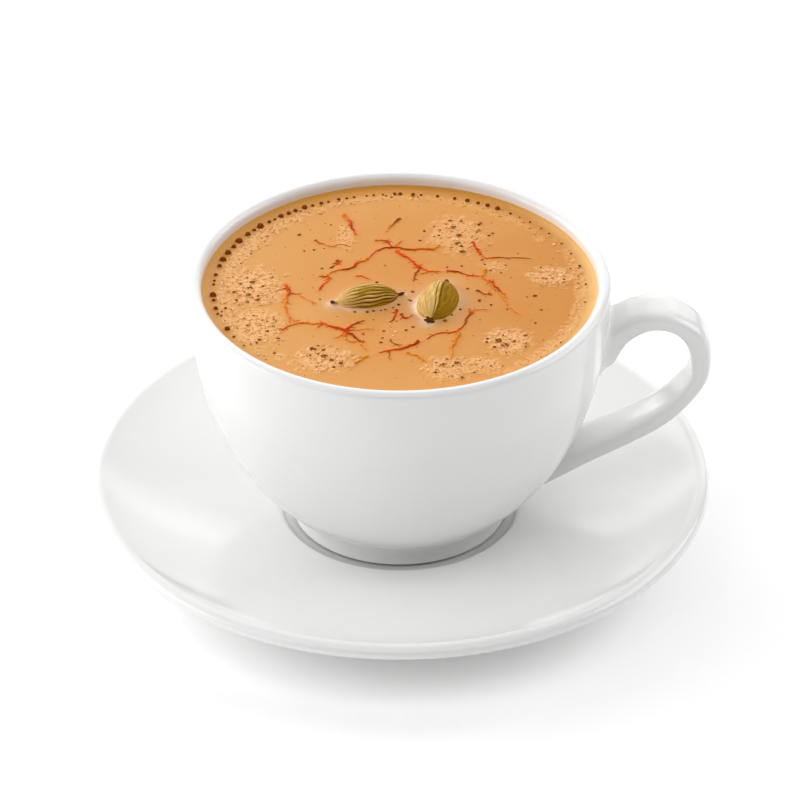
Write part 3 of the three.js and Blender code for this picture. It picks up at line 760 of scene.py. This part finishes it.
side_faces = np.stack([loops[:-1], loops[1:], after[1:], after[:-1]], -1).reshape(-1, 4)
pole = np.full(len(brink), grid.size + lower.size)
floor_faces = np.stack([pole, after[-1], loops[-1]], -1)
pole_point = [[0, 0, SEAT_HEIGHT + CUP_FLOOR_HEIGHT - REACH_INTO_WALL]]
tea_points = np.vstack([np.stack([top_x, top_y, top_z], -1), rings, pole_point])
tea = piece("milky_tea", tea_points, top_faces, side_faces, floor_faces)

to_wall = inner_radius - np.hypot(top_x, top_y)
way = np.degrees(np.arctan2(top_y, top_x))
rim_angle, amber_share, amber_width, lit_share, lit_width = np.array(RIM_BANDS, float).T


def wall_band(share, width, fade):
    """Strength of a line along the wall, from its share and width at each angle: full up to fade - 1 widths
    from the wall, none past fade widths, and uneven by a slow swell."""
    near = np.clip(fade - to_wall / np.interp(way, rim_angle, width), 0, 1)
    return np.clip(np.interp(way, rim_angle, share) * near * (1 + 0.15 * swell(top_x, top_y, 9, 8)), 0, 1)


tea_masks = {
    "froth": froth,
    "stain": stain,
    "halo": np.exp(-np.maximum(to_pods, 0) / 2.2),
    "meniscus_glint": meniscus_glint * (1 + 0.35 * swell(top_x, top_y, 1.2, 9)).clip(0, 1),
    # Along the wall: the amber film, laid strongest as painted shade, and the pale band of painted light.
    "amber": wall_band(amber_share, amber_width, 1.5),
    "lit_meniscus": wall_band(lit_share, lit_width, 1.6),
}
for name, mask in tea_masks.items():
    paint(tea, name, np.append(mask, np.zeros(len(tea_points) - grid.size)))

tea_skin, tree, shader = new_skin("milky_tea", {"IOR": WATER_IOR, "Specular IOR Level": 0.4})
place = add_node(tree, "ShaderNodeTexCoord").outputs["Object"]
split = add_node(tree, "ShaderNodeSeparateXYZ")
cells = add_node(tree, "ShaderNodeTexVoronoi", {"Scale": 1150.0, "Randomness": 1.0})
wire(tree, [(place, split.inputs["Vector"]), (place, cells.inputs["Vector"])])
masks = {name: painted(tree, name) for name in tea_masks}
clouded = spread_mask(tree, noise(tree, place, 38.0, 3.0, 0.6), 0.45, 0.75, 0.5)
gaps = spread_mask(tree, noise(tree, place, 1300.0, 1.0), 0.52, 0.72, 0.8)
froth_share = add_node(tree, "ShaderNodeMath", {1: FROTH_SHARE}, operation="MULTIPLY")
tree.links.new(masks["froth"], froth_share.inputs[0])
skin_colour = coats(
    tree,
    TEA_MAIN,
    [
        (clouded, TEA_PALE),
        # The tea is deeper orange towards the right and paler towards the left and the front. This is partly
        # its own colour and partly painted light: painted shade on the right, painted sheen on the left and
        # front. It is also paler towards the back.
        (spread_mask(tree, split.outputs["X"], 0.0, 0.046, 0.85), TEA_DEEP_AND_SHADED),
        (spread_mask(tree, split.outputs["X"], 0.0, -0.044, 0.75), TEA_PALE),
        (spread_mask(tree, split.outputs["Y"], -0.008, -0.044, 0.45), TEA_PALE),
        (spread_mask(tree, split.outputs["Y"], 0.01, 0.046, 0.4), TEA_PALE),
        (masks["halo"], TEA_HALO),
        (masks["meniscus_glint"], MENISCUS_GLINT_COLOUR),
        (froth_share.outputs["Value"], coats(tree, TEA_FROTH, [(gaps, TEA_FROTH_GAP)])),
        (masks["stain"], TEA_STAIN),
        (masks["lit_meniscus"], RIM_PAINTED_LIGHT),
        (masks["amber"], RIM_AMBER),
    ],
)
foam = add_node(tree, "ShaderNodeMath", operation="MULTIPLY")
wire(
    tree,
    [
        (skin_colour, shader.inputs["Base Color"]),
        (graded(tree, noise(tree, place, 900.0, 2.0), (0, 1), TEA_ROUGHNESS), shader.inputs["Roughness"]),
        (cells.outputs["Distance"], foam.inputs[0]),
        (masks["froth"], foam.inputs[1]),
    ],
)
bump(tree, shader, foam.outputs["Value"], 0.5, 0.0003)
tea.data.materials.append(tea_skin)
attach(tea, "root")
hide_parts("chai")

# Foam bubbles, thin films of tea round air: a row of large ones along the wall, which show the dark tea
# through them, burst ones in the froth with a raised ring round a flat middle, and thousands of fine ones,
# of which about a quarter are painted cream as highlights on the froth's bumps.
RIM_BUBBLES = [
    # angle in degrees and width in mm
    (3, 0.6), (13.5, 0.75), (21.5, 0.5), (28, 0.6), (35, 0.6), (39, 0.5), (44, 0.6), (48.5, 0.5),
    (52, 0.75), (57, 1.4), (60.6, 1.25), (64, 1.0), (67.7, 1.25), (72, 1.0), (77.7, 0.9), (83, 0.75),
    (85.6, 1.0), (89.8, 1.1), (91.6, 1.0), (95.4, 0.6), (98.4, 0.75), (100.7, 0.6), (104.8, 0.75),
    (107.3, 0.75), (110, 1.0), (113.5, 0.75), (116, 1.0), (119, 0.9), (122, 1.5), (125.3, 1.25),
    (128, 1.25), (131, 1.4), (133.6, 0.75), (136, 1.1), (140, 1.9), (143, 1.0), (146.3, 1.5), (151, 2.0),
    (154.5, 1.35), (158.6, 1.75), (162.8, 1.75), (166.5, 1.25), (171.6, 1.0), (174.8, 0.75), (177, 0.75),
    (183.4, 1.75), (186.3, 1.0), (191, 1.25), (194, 0.75), (203.4, 1.5), (208, 0.75), (214, 0.6),
]
BURST_BUBBLES = [
    # width in mm and the places that have it
    (1.5, [(-40.4, -1.4), (-36.7, 0.5), (-37.1, -2.7), (-34.9, -4.6), (-36.2, 3.2)]),
    (1.0, [(-40.0, -5.0), (-37.3, -5.9), (-34.7, -3.2), (-33.6, 1.2), (-39.2, 2.4), (-31.4, 5.6)]),
    (1.1, [(-34.2, -15.9), (-32.2, -19.1), (-29.5, -22.2), (-36.9, -16.4), (-34.0, -23.1)]),
    (0.7, [(-33.5, -14.1), (-32.3, -14.6), (-35.6, -12.0), (-30.7, -16.9), (-37.8, -13.2)]),
    (1.9, [(-20.9, -27.1), (-21.6, -29.8), (-18.2, -30.2), (10.7, -34.2), (13.9, -33.3)]),
    (1.4, [(-18.3, -27.5), (-16.5, -32.0), (-14.1, -33.3), (12.4, -39.0), (15.0, -39.5), (-10.7, -33.4)]),
    (0.8, [(-19.7, -25.3), (9.0, -36.4), (18.4, -33.7), (11.5, -31.5), (17.9, -37.3), (22.0, -34.6)]),
    (2.3, [(23.9, -23.5), (25.5, -25.3)]),
    (1.2, [(27.7, -23.5), (22.9, -26.2), (21.2, -24.0), (30.4, -25.8), (30.5, -20.8), (25.4, -20.8)]),
    (0.6, [(37.8, 6.0), (38.8, 7.4), (37.6, 5.1), (40.5, 6.0), (35.3, 5.1), (44.0, 6.0), (34.9, 10.2)]),
    (1.8, [(13.4, 28.9), (14.8, 25.1), (14.5, 21.4), (15.7, 17.6)]),
    (1.1, [(12.6, 32.2), (15.4, 31.8), (20.3, 31.0), (19.8, 27.6), (23.2, 26.2)]),
]
RIM_DOME = [
    # radius and height as shares of the bubble's own, and tone: 1 dark tea, 0 pale film, -1 cream, which is
    # pale foam on the rings and a painted highlight on the fine bubbles
    (0, -0.5, 0), (1.1, -0.25, -0.3), (1.3, 0.05, -0.5), (1.12, 0.2, 0.05), (0.97, 0.2, 0.85), (0.9, 0.5, 1),
    (0.7, 0.82, 1), (0.38, 1, 0.9), (0, 1.05, 0.8),
]
BURST_RING = [
    (0, -0.5, 0), (1.1, -0.25, -0.3), (1.22, 0.04, -0.5), (1.06, 0.2, -0.2), (0.9, 0.08, 0.75),
    (0.6, 0.04, 0.95), (0, 0.05, 0.8),
]
FINE_DOME = [(0, -0.4, 0), (1, 0, 0), (0.74, 0.6, 0), (0, 0.85, 0)]
RIM_BUBBLE_CIRCLE = (44.7, 1.1)  # radius at the front and back, and how much wider it is at the sides
RIM_BUBBLE_RISE = 1.2
BURST_BUBBLE_HEIGHT = 0.7
FINE_BUBBLE_TRIES = 26000
FINE_BUBBLE_RADIUS = (0.12, 0.42)
FINE_BUBBLE_SHARE = 0.62
BUBBLE_ROUGHNESS = (0.12, 0.3)
BUBBLE_PALE = shade(238, 184, 122)
BUBBLE_DARK = shade(122, 64, 8)
BUBBLE_FOAM_AND_HIGHLIGHT = shade(255, 212, 158)

bubble_skin, tree, shader = new_skin("tea_bubble_film", {"IOR": WATER_IOR, "Specular IOR Level": 0.05})
place = add_node(tree, "ShaderNodeTexCoord").outputs["Object"]
tone = painted(tree, "tone")
blotch = noise(tree, place, 700.0, 1.0)
film_colour = coats(
    tree,
    BUBBLE_PALE,
    [
        (blotch, TEA_PALE),
        (spread_mask(tree, tone, 0, 1), BUBBLE_DARK),
        (spread_mask(tree, tone, 0, -1), BUBBLE_FOAM_AND_HIGHLIGHT),
    ],
)
tree.links.new(film_colour, shader.inputs["Base Color"])
tree.links.new(graded(tree, blotch, (0, 1), BUBBLE_ROUGHNESS), shader.inputs["Roughness"])


def bodies_of(centres, radii, heights, profile, sides, unround, seed):
    """Small closed bodies turned from one profile: its point [r, h] becomes the ring centre + (radius r
    cos a, radius r sin a, height h), with each spoke stretched by up to the unround share. Its ends are
    poles."""
    profile = np.array(profile, float)
    spoke = 2 * np.pi * np.arange(sides) / sides
    count = len(centres)
    stretch = 1 + unround * np.random.default_rng(seed).uniform(-1, 1, (count, 1, sides))
    reach = radii[:, None, None] * profile[None, 1:-1, 0, None] * stretch
    high = np.broadcast_to(heights[:, None, None] * profile[None, 1:-1, 1, None], reach.shape)
    around = np.stack([reach * np.cos(spoke), reach * np.sin(spoke), high], -1)
    ends = np.zeros((count, 2, 3))
    ends[:, :, 2] = heights[:, None] * profile[[0, -1], 1]
    points = np.concatenate([around.reshape(count, -1, 3), ends], 1) + centres[:, None]
    quads, fans = ring_faces(len(profile) - 2, sides)
    shift = (np.arange(count) * points.shape[1])[:, None, None]
    return points.reshape(-1, 3), (quads + shift).reshape(-1, 4), (fans + shift).reshape(-1, 3)


def lay_bubbles(name, x, y, radii, heights, profile, own_tone, sides, unround, seed):
    """Bubbles of one kind as one piece on the tea. A point's tone is the profile's plus the bubble's own."""
    centres = np.stack([x, y, tea_height(x, y)], -1)
    made = piece(name, *bodies_of(centres, radii, heights, profile, sides, unround, seed))
    tones = np.array(profile)[:, 2]
    of_one = np.concatenate([np.repeat(tones[1:-1], sides), tones[[0, -1]]])
    paint(made, "tone", np.add.outer(own_tone * np.ones(len(x)), of_one).ravel())
    made.data.materials.append(bubble_skin)
    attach(made, "root")
    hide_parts("chai")


angle, width = np.array(RIM_BUBBLES).T
angle = np.radians(angle)
radius, wider = RIM_BUBBLE_CIRCLE
radius = radius + wider * np.cos(angle) ** 2
x = radius * np.cos(angle)
y = radius * np.sin(angle)
height = width / 2 * RIM_BUBBLE_RISE
lay_bubbles("rim_bubbles", x, y, width / 2, height, RIM_DOME, 0, sides=16, unround=0.16, seed=11)

x, y, width = np.array([(x, y, width) for width, places in BURST_BUBBLES for x, y in places]).T
height = np.full(len(width), BURST_BUBBLE_HEIGHT)
lay_bubbles("burst_bubbles", x, y, width / 2, height, BURST_RING, 0, sides=14, unround=0.3, seed=12)

draw = np.random.default_rng(21)
radius = inner_radius * np.sqrt(draw.random(FINE_BUBBLE_TRIES))
angle = draw.uniform(0, 2 * np.pi, FINE_BUBBLE_TRIES)
x = radius * np.cos(angle)
y = radius * np.sin(angle)
low, high = FINE_BUBBLE_RADIUS
radius = low + (high - low) * draw.random(FINE_BUBBLE_TRIES) ** 3.5
kind = draw.random(FINE_BUBBLE_TRIES)
# About a quarter of the fine bubbles are cream: a painted highlight on the froth's bumps.
dark_or_highlighted = [draw.uniform(0.55, 0.95, FINE_BUBBLE_TRIES), draw.uniform(-1, -0.4, FINE_BUBBLE_TRIES)]
own_tone = np.select([kind < 0.1, kind > 0.76], dark_or_highlighted, 0.04)
kept = froth_cover(x, y) * FINE_BUBBLE_SHARE > draw.random(FINE_BUBBLE_TRIES)
x, y, radius, own_tone = x[kept], y[kept], radius[kept], own_tone[kept]
lay_bubbles("fine_froth", x, y, radius, radius, FINE_DOME, own_tone, sides=7, unround=0.1, seed=13)

# Saffron: dried stigmas of the crocus, laid on the tea, where they soften, lie half sunk and bleed their
# colour. Each is a flat thread that tapers from its trumpet end, with finer threads split off its sides.
SAFFRON_DYES = [
    shade(160, 36, 0), shade(212, 58, 2), shade(224, 108, 10), shade(216, 142, 12), shade(140, 62, 12),
    shade(220, 136, 46),
]
SAFFRON_TUFTS = [
    # middle x, y, number of threads, reach
    (-12.9, -18.5, 9, 3.2),
    (-27.7, 0.6, 6, 2.0),
    (-3.0, 22.4, 5, 1.6),
    (-15.1, 12.5, 6, 1.9),
    (22.9, 3.7, 4, 1.5),
    (19.8, 17.4, 4, 1.4),
    (22.2, -1.8, 4, 1.0),
    (-18.1, 6.2, 5, 2.0),
    (-19.2, 1.2, 3, 1.1),
    (-18.9, -15.2, 4, 1.3),
    (-9.3, -23.3, 4, 1.5),
    (4.7, 10.8, 4, 1.6),
    (17.3, -10.5, 3, 1.6),
    (-28.4, -18.2, 2, 1.3),
    (1.7, -12.7, 3, 1.0),
    (-1.1, -10.5, 3, 1.0),
]
STRAND_SIDES = 8
THREAD_SIDES = 5
THREAD_HALF_WIDTH = 0.13
THREAD_SPACING = 2.6


def ribbon(path, half_widths, sides):
    """A closed flat tube along a path on the tea: its rings are ovals, 0.62 as high as they are wide."""
    along = np.gradient(path, axis=0)
    along /= np.linalg.norm(along, axis=1)[:, None] + 1e-9
    turn = 2 * np.pi * np.arange(sides) / sides
    across = half_widths[:, None] * np.cos(turn)[None]
    up = 0.62 * half_widths[:, None] * np.sin(turn)[None]
    level = tea_height(path[:, 0], path[:, 1]) + 0.28 * half_widths + 0.08
    x = path[:, 0, None] + across * along[:, 1, None]
    y = path[:, 1, None] - across * along[:, 0, None]
    return tube(np.stack([x, y, level[:, None] + up], -1))


def fading(first, second, share):
    """Colours from the first to the second, by share."""
    return first * (1 - share[:, None]) + second * share[:, None]


def add_thread(start, way, reach, half_width, colours):
    """A fine thread from a start, whose heading turns along it. Its points take the colours along it."""
    t = np.linspace(0, 1, len(way))
    path = start + np.stack([np.cos(way), np.sin(way)], -1) * (reach * t)[:, None]
    strands.append(ribbon(path, half_width * (1.15 - t), THREAD_SIDES))
    strand_colours.append(np.vstack([np.repeat(colours, THREAD_SIDES, axis=0), colours[[0, -1]]]))


dyes_linear = np.array(SAFFRON_DYES)[:, :3]
edge_dye = dyes_linear[ORANGE]
edge_share = np.abs(np.cos(2 * np.pi * np.arange(STRAND_SIDES) / STRAND_SIDES)) ** 2
draw = np.random.default_rng(33)
strands = []
strand_colours = []
for (dyes, _, half_width), path in zip(SAFFRON_STRANDS, strand_paths):
    share = np.linspace(0, 1, len(path))
    wave = 1 + 0.22 * np.sin(share * 21 + draw.uniform(0, 6)) * np.sin(share * 9 + draw.uniform(0, 6))
    trumpet = 0.42 + 0.58 * (1 - share) ** 0.8 + 0.5 * np.exp(-share / 0.05)
    ends = np.clip(np.minimum(share, 1 - share) / 0.03, 0.15, 1)
    strands.append(ribbon(path, half_width * wave * trumpet * ends, STRAND_SIDES))
    stops = np.linspace(0, 1, len(dyes))
    along_colour = np.stack([np.interp(share, stops, dyes_linear[list(dyes), c]) for c in range(3)], -1)
    blotch = 0.5 + 0.5 * np.sin(share * len(path) * 0.7 + draw.uniform(0, 6)) * np.sin(share * 23 + 1)
    pale = (0.75 * np.maximum.outer(0.5 * blotch, edge_share))[..., None]
    around = along_colour[:, None] * (1 - pale) + (0.6 * along_colour[:, None] + 0.4 * edge_dye) * pale
    strand_colours.append(np.vstack([around.reshape(-1, 3), along_colour[[0, -1]]]))
    length = np.linalg.norm(np.diff(path, axis=0), axis=1).sum()
    for start in draw.uniform(0.08, 0.92, round(length / THREAD_SPACING)):
        root = round(start * (len(path) - 1))
        heading = math.atan2(*(path[min(root + 1, len(path) - 1)] - path[root - 1])[::-1])
        heading += draw.choice([-1, 1]) * draw.uniform(0.35, 1.1)
        reach = draw.uniform(0.6, 1.9)
        t = np.linspace(0, 1, 9)
        way = heading + draw.uniform(-0.5, 0.5) * t
        add_thread(path[root], way, reach, THREAD_HALF_WIDTH, fading(along_colour[root], edge_dye, 0.7 * t))
for middle_x, middle_y, count, reach in SAFFRON_TUFTS:
    for heading in np.linspace(0, 2 * np.pi, count, endpoint=False) + draw.uniform(0, 6):
        t = np.linspace(0, 1, 12)
        turning = draw.uniform(-0.7, 0.7) * t
        own_reach = reach * draw.uniform(0.5, 1.1)
        way = heading + draw.uniform(-0.4, 0.4) + turning
        colours = fading(dyes_linear[RED], edge_dye, t)
        add_thread(np.array([middle_x, middle_y]), way, own_reach, 1.5 * THREAD_HALF_WIDTH, colours)

# All strands are one mesh, each part's faces counted on from the last.
starts = np.cumsum([0] + [len(points) for points, _, _ in strands[:-1]])
saffron = piece(
    "saffron_strands",
    np.vstack([points for points, _, _ in strands]),
    np.vstack([quads + start for (_, quads, _), start in zip(strands, starts)]),
    np.vstack([fans + start for (_, _, fans), start in zip(strands, starts)]),
)
dye = np.vstack(strand_colours)
paint(saffron, "dye", np.hstack([dye, np.ones((len(dye), 1))]))

# Saffron, spice and husk share the mottle and grain of dry plant fibre, as a shader group: a noise in the
# given vector's space lightens and darkens the colour, and comes out as a height too.
fibre = bpy.data.node_groups.new("dry_fibre", "ShaderNodeTree")
for name, in_out, kind in [
    ("Colour", "INPUT", "NodeSocketColor"),
    ("Place", "INPUT", "NodeSocketVector"),
    ("Scale", "INPUT", "NodeSocketFloat"),
    ("Mottle", "INPUT", "NodeSocketFloat"),
    ("Colour", "OUTPUT", "NodeSocketColor"),
    ("Height", "OUTPUT", "NodeSocketFloat"),
]:
    fibre.interface.new_socket(name, in_out=in_out, socket_type=kind)
given = fibre.nodes.new("NodeGroupInput")
given_back = fibre.nodes.new("NodeGroupOutput")
grain = add_node(fibre, "ShaderNodeTexNoise", {"Detail": 4.0, "Roughness": 0.65})
amount = add_node(fibre, "ShaderNodeMath", {2: 1.0}, operation="MULTIPLY_ADD")
toned = add_node(fibre, "ShaderNodeVectorMath", operation="SCALE")
wire(
    fibre,
    [
        (given.outputs["Place"], grain.inputs["Vector"]),
        (given.outputs["Scale"], grain.inputs["Scale"]),
        (graded(fibre, grain.outputs["Fac"], (0.3, 0.7), (-1, 1)), amount.inputs[0]),
        (given.outputs["Mottle"], amount.inputs[1]),
        (given.outputs["Colour"], toned.inputs[0]),
        (amount.outputs["Value"], toned.inputs["Scale"]),
        (toned.outputs["Vector"], given_back.inputs["Colour"]),
        (grain.outputs["Fac"], given_back.inputs["Height"]),
    ],
)


def fibre_skin(name, colour_of, scale, mottle, roughness, depth, place_name=None):
    """A matt plant material: the colour that colour_of(tree) gives, mottled by the fibre group in the space
    of the object, or of the vector painted under place_name. Depth is the grain's height in metres."""
    skin, tree, shader = new_skin(name, {"Roughness": roughness, "Specular IOR Level": 0.05})
    if place_name:
        place = painted(tree, place_name, "Vector")
    else:
        place = add_node(tree, "ShaderNodeTexCoord").outputs["Object"]
    dry = add_node(tree, "ShaderNodeGroup", {"Scale": scale, "Mottle": mottle}, node_tree=fibre)
    wire(
        tree,
        [
            (place, dry.inputs["Place"]),
            (colour_of(tree), dry.inputs["Colour"]),
            (dry.outputs["Colour"], shader.inputs["Base Color"]),
        ],
    )
    bump(tree, shader, dry.outputs["Height"], 0.6, depth)
    return skin


def dye_colour(tree):
    """The colour painted on the strands."""
    return painted(tree, "dye", "Color")


saffron.data.materials.append(fibre_skin("soaked_saffron", dye_colour, 1400, 0.35, 0.42, 0.0001))
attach(saffron, "root")
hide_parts("chai")

# Ground spice: chips of husk and seed from the crushed spices, sieved onto the tea. The larger ones lie
# scattered and a few gather along the front of the left pod, and fine dust is all over.
SPICE_CHIPS = [
    (5.0, 23.0), (15.3, 11.1), (11.7, 10.4), (0.8, -1.7), (16.6, 0.6), (19.5, -4.8), (22.4, -6.8),
    (19.6, -13.6), (33.1, -15.0), (22.2, 25.3), (19.9, 30.3), (19.2, 26.8), (25.0, 7.8), (31.2, -3.2),
    (33.3, -2.7), (26.3, -8.8), (-5.6, 3.5), (-3.8, -18.6), (-8.9, -19.9), (-6.3, -13.6), (-4.5, -23.8),
    (-29.5, -22.1), (-10.9, -10.1), (-8.0, -10.2), (-6.4, -9.7), (-4.5, -9.3), (-3.5, -9.0), (-1.6, -8.1),
    (-0.2, -6.8), (11.5, -18.4), (11.1, -13.9), (12.8, -11.6), (-23.8, 18.1), (-21.2, 18.5), (-19.2, 9.8),
    (-16.9, 10.2), (-16.4, 10.8), (-3.6, 11.3), (-17.1, 30.3), (-19.5, -4.3), (-15.0, 12.5), (-15.3, 13.4),
    (0.6, -10.9), (14.8, -8.9), (20.4, 13.9), (21.0, 11.8), (16.7, -12.7), (-25.0, 25.6), (34.6, -9.1),
    (33.0, -2.7), (1.6, -18.2), (3.3, -16.8), (-4.2, -21.7), (2.3, -4.6), (3.1, -0.9), (2.8, -5.0),
]
SPICE_CHIP_RADIUS = (0.24, 0.48)
SPICE_DUST = 240
SPICE_DUST_RADIUS = (0.07, 0.17)
SPICE_DUST_REACH = 44
SPICE_DARK = shade(112, 56, 14)
SPICE_RUST = shade(184, 96, 30)
CHIP_PROFILE = [(0, -0.8), (0.85, -0.3), (1, 0.35), (0, 0.75)]
CHIP_SIDES = 6

draw = np.random.default_rng(52)
chip_radius = draw.uniform(*SPICE_CHIP_RADIUS, len(SPICE_CHIPS))
angle = draw.uniform(0, 2 * np.pi, SPICE_DUST)
radius = SPICE_DUST_REACH * np.sqrt(draw.random(SPICE_DUST))
dust = np.stack([radius * np.cos(angle), radius * np.sin(angle)], -1)
dust_radius = draw.uniform(*SPICE_DUST_RADIUS, SPICE_DUST)
x, y = np.vstack([SPICE_CHIPS, dust]).T
clear_of_pods = np.min([beside_pod(pod, x, y) for pod in PODS.values()], axis=0) > 0.2
x, y = x[clear_of_pods], y[clear_of_pods]
radius = np.append(chip_radius, dust_radius)[clear_of_pods]
centres = np.stack([x, y, tea_height(x, y)], -1)
spice = piece("ground_spice", *bodies_of(centres, radius, radius * 0.8, CHIP_PROFILE, CHIP_SIDES, 0.45, 17))
rust = np.repeat(draw.random(len(x)) ** 2, 2 * CHIP_SIDES + 2)[:, None]
paint(spice, "tint", np.array(SPICE_DARK) * (1 - rust) + np.array(SPICE_RUST) * rust)


def spice_colour(tree):
    """The colour painted on the chips."""
    return painted(tree, "tint", "Color")


spice.data.materials.append(fibre_skin("ground_spice", spice_colour, 2600, 0.5, 0.6, 0.0001))
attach(spice, "root")
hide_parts("chai")

# Green cardamom pods, dried whole: papery husks in three lobes with lengthwise ribs, a stub of stalk at one
# end and the withered flower at the other. They float half sunk, with their axis at the level of the tea.
POD_STATIONS = 120
POD_SIDES = 200
POD_LOBE_HEIGHT = 0.05
POD_RIBS = 22
POD_RIB_HEIGHT = 0.055
POD_END_LIFT = 0.9
SEAM_ANGLE = 96
SEAM_RELIEF = [
    # degrees from the seam, half width in degrees, height, lightness
    (-5, 2.4, 0.06, 0.5), (0, 2, -0.03, -0.6), (5, 2.4, 0.06, 0.45), (11.5, 3.4, -0.06, -0.55),
]
SHADED_LOBE = (11, 105, 0.34)  # from and to, in degrees from the seam, and how much darker
HUSK_RIDGE = shade(217, 177, 106)
HUSK_VALLEY = shade(98, 64, 0)
HUSK_GOLD = shade(158, 118, 8)
HUSK_STUB = shade(104, 56, 12)


def pod_surface(pod, seam):
    """Ring point at station s and angle a: the outline's radius times 1 + lobes + ribs, lifted at both ends
    by 0.9 ((|s| - 0.7) / 0.5)^1.5. Lobes are 0.05 cos(3a + roll), and ribs are cosines of an angle that
    wanders. On a seamed pod the ribs are faint, and the seam has two ridges and two grooves. With the ring
    points come each point's lightness, its place on the husk and its station."""
    outline = through(POD_OUTLINE, POD_STATIONS)
    station = outline[:, 0, None]
    taper = np.maximum(outline[:, 1, None], 0.03) ** pod["fullness"]
    stub = np.where(station < 0, *pod["stubs"])
    taper = taper * (1 + (stub - 1) * np.clip((np.abs(station) - 0.9) / 0.1, 0, 1))
    turn = 2 * np.pi * np.arange(POD_SIDES)[None] / POD_SIDES
    wander = turn + 0.1 * np.sin(2 * turn + 1) + 0.07 * np.sin(3 * turn) + 0.1 * station
    wander = wander + 0.035 * np.sin(9 * station + 4 * turn)
    rib = 2 * np.abs(np.cos(POD_RIBS / 2 * wander)) ** 0.8 - 1
    uneven = 0.75 + 0.35 * np.sin(5 * wander + 2) + 0.15 * np.sin(7 * station + 3 * turn)
    strength = (0.14 if seam else 1) * uneven
    lobes = POD_LOBE_HEIGHT * np.cos(3 * turn + math.radians(pod["roll"]))
    relief = lobes + POD_RIB_HEIGHT * strength * rib + 0.01 * np.sin(41 * wander + 3 * station)
    if seam:
        from_seam = np.degrees(turn) - SEAM_ANGLE + 10 * station + 8 * (1 - station**2)
        start, end, darker = SHADED_LOBE
        light = 0.78 + 0.5 * strength * rib
        light -= darker * np.clip((from_seam - start) / 6, 0, 1) * (from_seam < end)
        for middle, half_width, height, lighter in SEAM_RELIEF:
            ridge = np.exp(-(((from_seam - middle) / half_width) ** 2))
            relief = relief + height * ridge
            light += lighter * ridge
    else:
        light = 0.44 + 0.5 * strength * rib
        light += 0.75 * np.clip(-0.3 - station, 0, 0.7) - 0.2 * np.clip(station, 0, 1)
    ragged = 0.3 * np.sin(5 * turn + 9 * station) * np.clip((np.abs(station) - 0.98) / 0.1, 0, 1)
    grown = 1 + relief * np.clip(taper * 1.3, 0, 1) + ragged
    lift = POD_END_LIFT * (np.clip(np.abs(station) - 0.7, 0, 0.5) / 0.5) ** 1.5
    half_length, half_width, half_height = pod["half"]
    across = half_width * taper * grown * np.cos(turn)
    up = half_height * taper * grown * np.sin(turn) + lift
    along = np.broadcast_to(station * half_length, across.shape)
    way = math.radians(pod["turn"])
    x = pod["centre"][0] + along * math.cos(way) - across * math.sin(way)
    y = pod["centre"][1] + along * math.sin(way) + across * math.cos(way)
    ring_points = np.stack([x, y, CHAI_LEVEL + up], -1)
    husk = np.stack(np.broadcast_arrays(np.cos(turn), np.sin(turn), station * 0.22), -1)
    return ring_points, np.clip(light, 0, 1), husk, np.broadcast_to(station, across.shape)


def husk_colour(tree):
    """Pale ridges, golden flanks and brown valleys, with the two stubs dark."""
    ridge = painted(tree, "ridge")
    station = painted(tree, "station")
    return coats(
        tree,
        HUSK_VALLEY,
        [
            (spread_mask(tree, ridge, 0.1, 0.5), HUSK_GOLD),
            (spread_mask(tree, ridge, 0.45, 0.9), HUSK_RIDGE),
            (spread_mask(tree, station, 0.92, 1.04), HUSK_STUB),
            (spread_mask(tree, station, -1.04, -1.14), HUSK_STUB),
        ],
    )


husk_skin = fibre_skin("cardamom_husk", husk_colour, 11, 0.42, 0.55, 0.0002, "husk")
for name, pod in PODS.items():
    ring_points, ridge, husk, station = pod_surface(pod, name == "green_pod_right")
    made = piece(name, *tube(ring_points))
    paint(made, "ridge", np.append(ridge.ravel(), [0.5, 0.5]))
    paint(made, "station", np.append(station.ravel(), [-1.2, 1.2]))
    paint(made, "husk", np.vstack([husk.reshape(-1, 3), [[0, 0, -0.26], [0, 0, 0.26]]]))
    made.data.materials.append(husk_skin)
    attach(made, "root")
    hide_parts("cardamom" + name.removeprefix("green"))
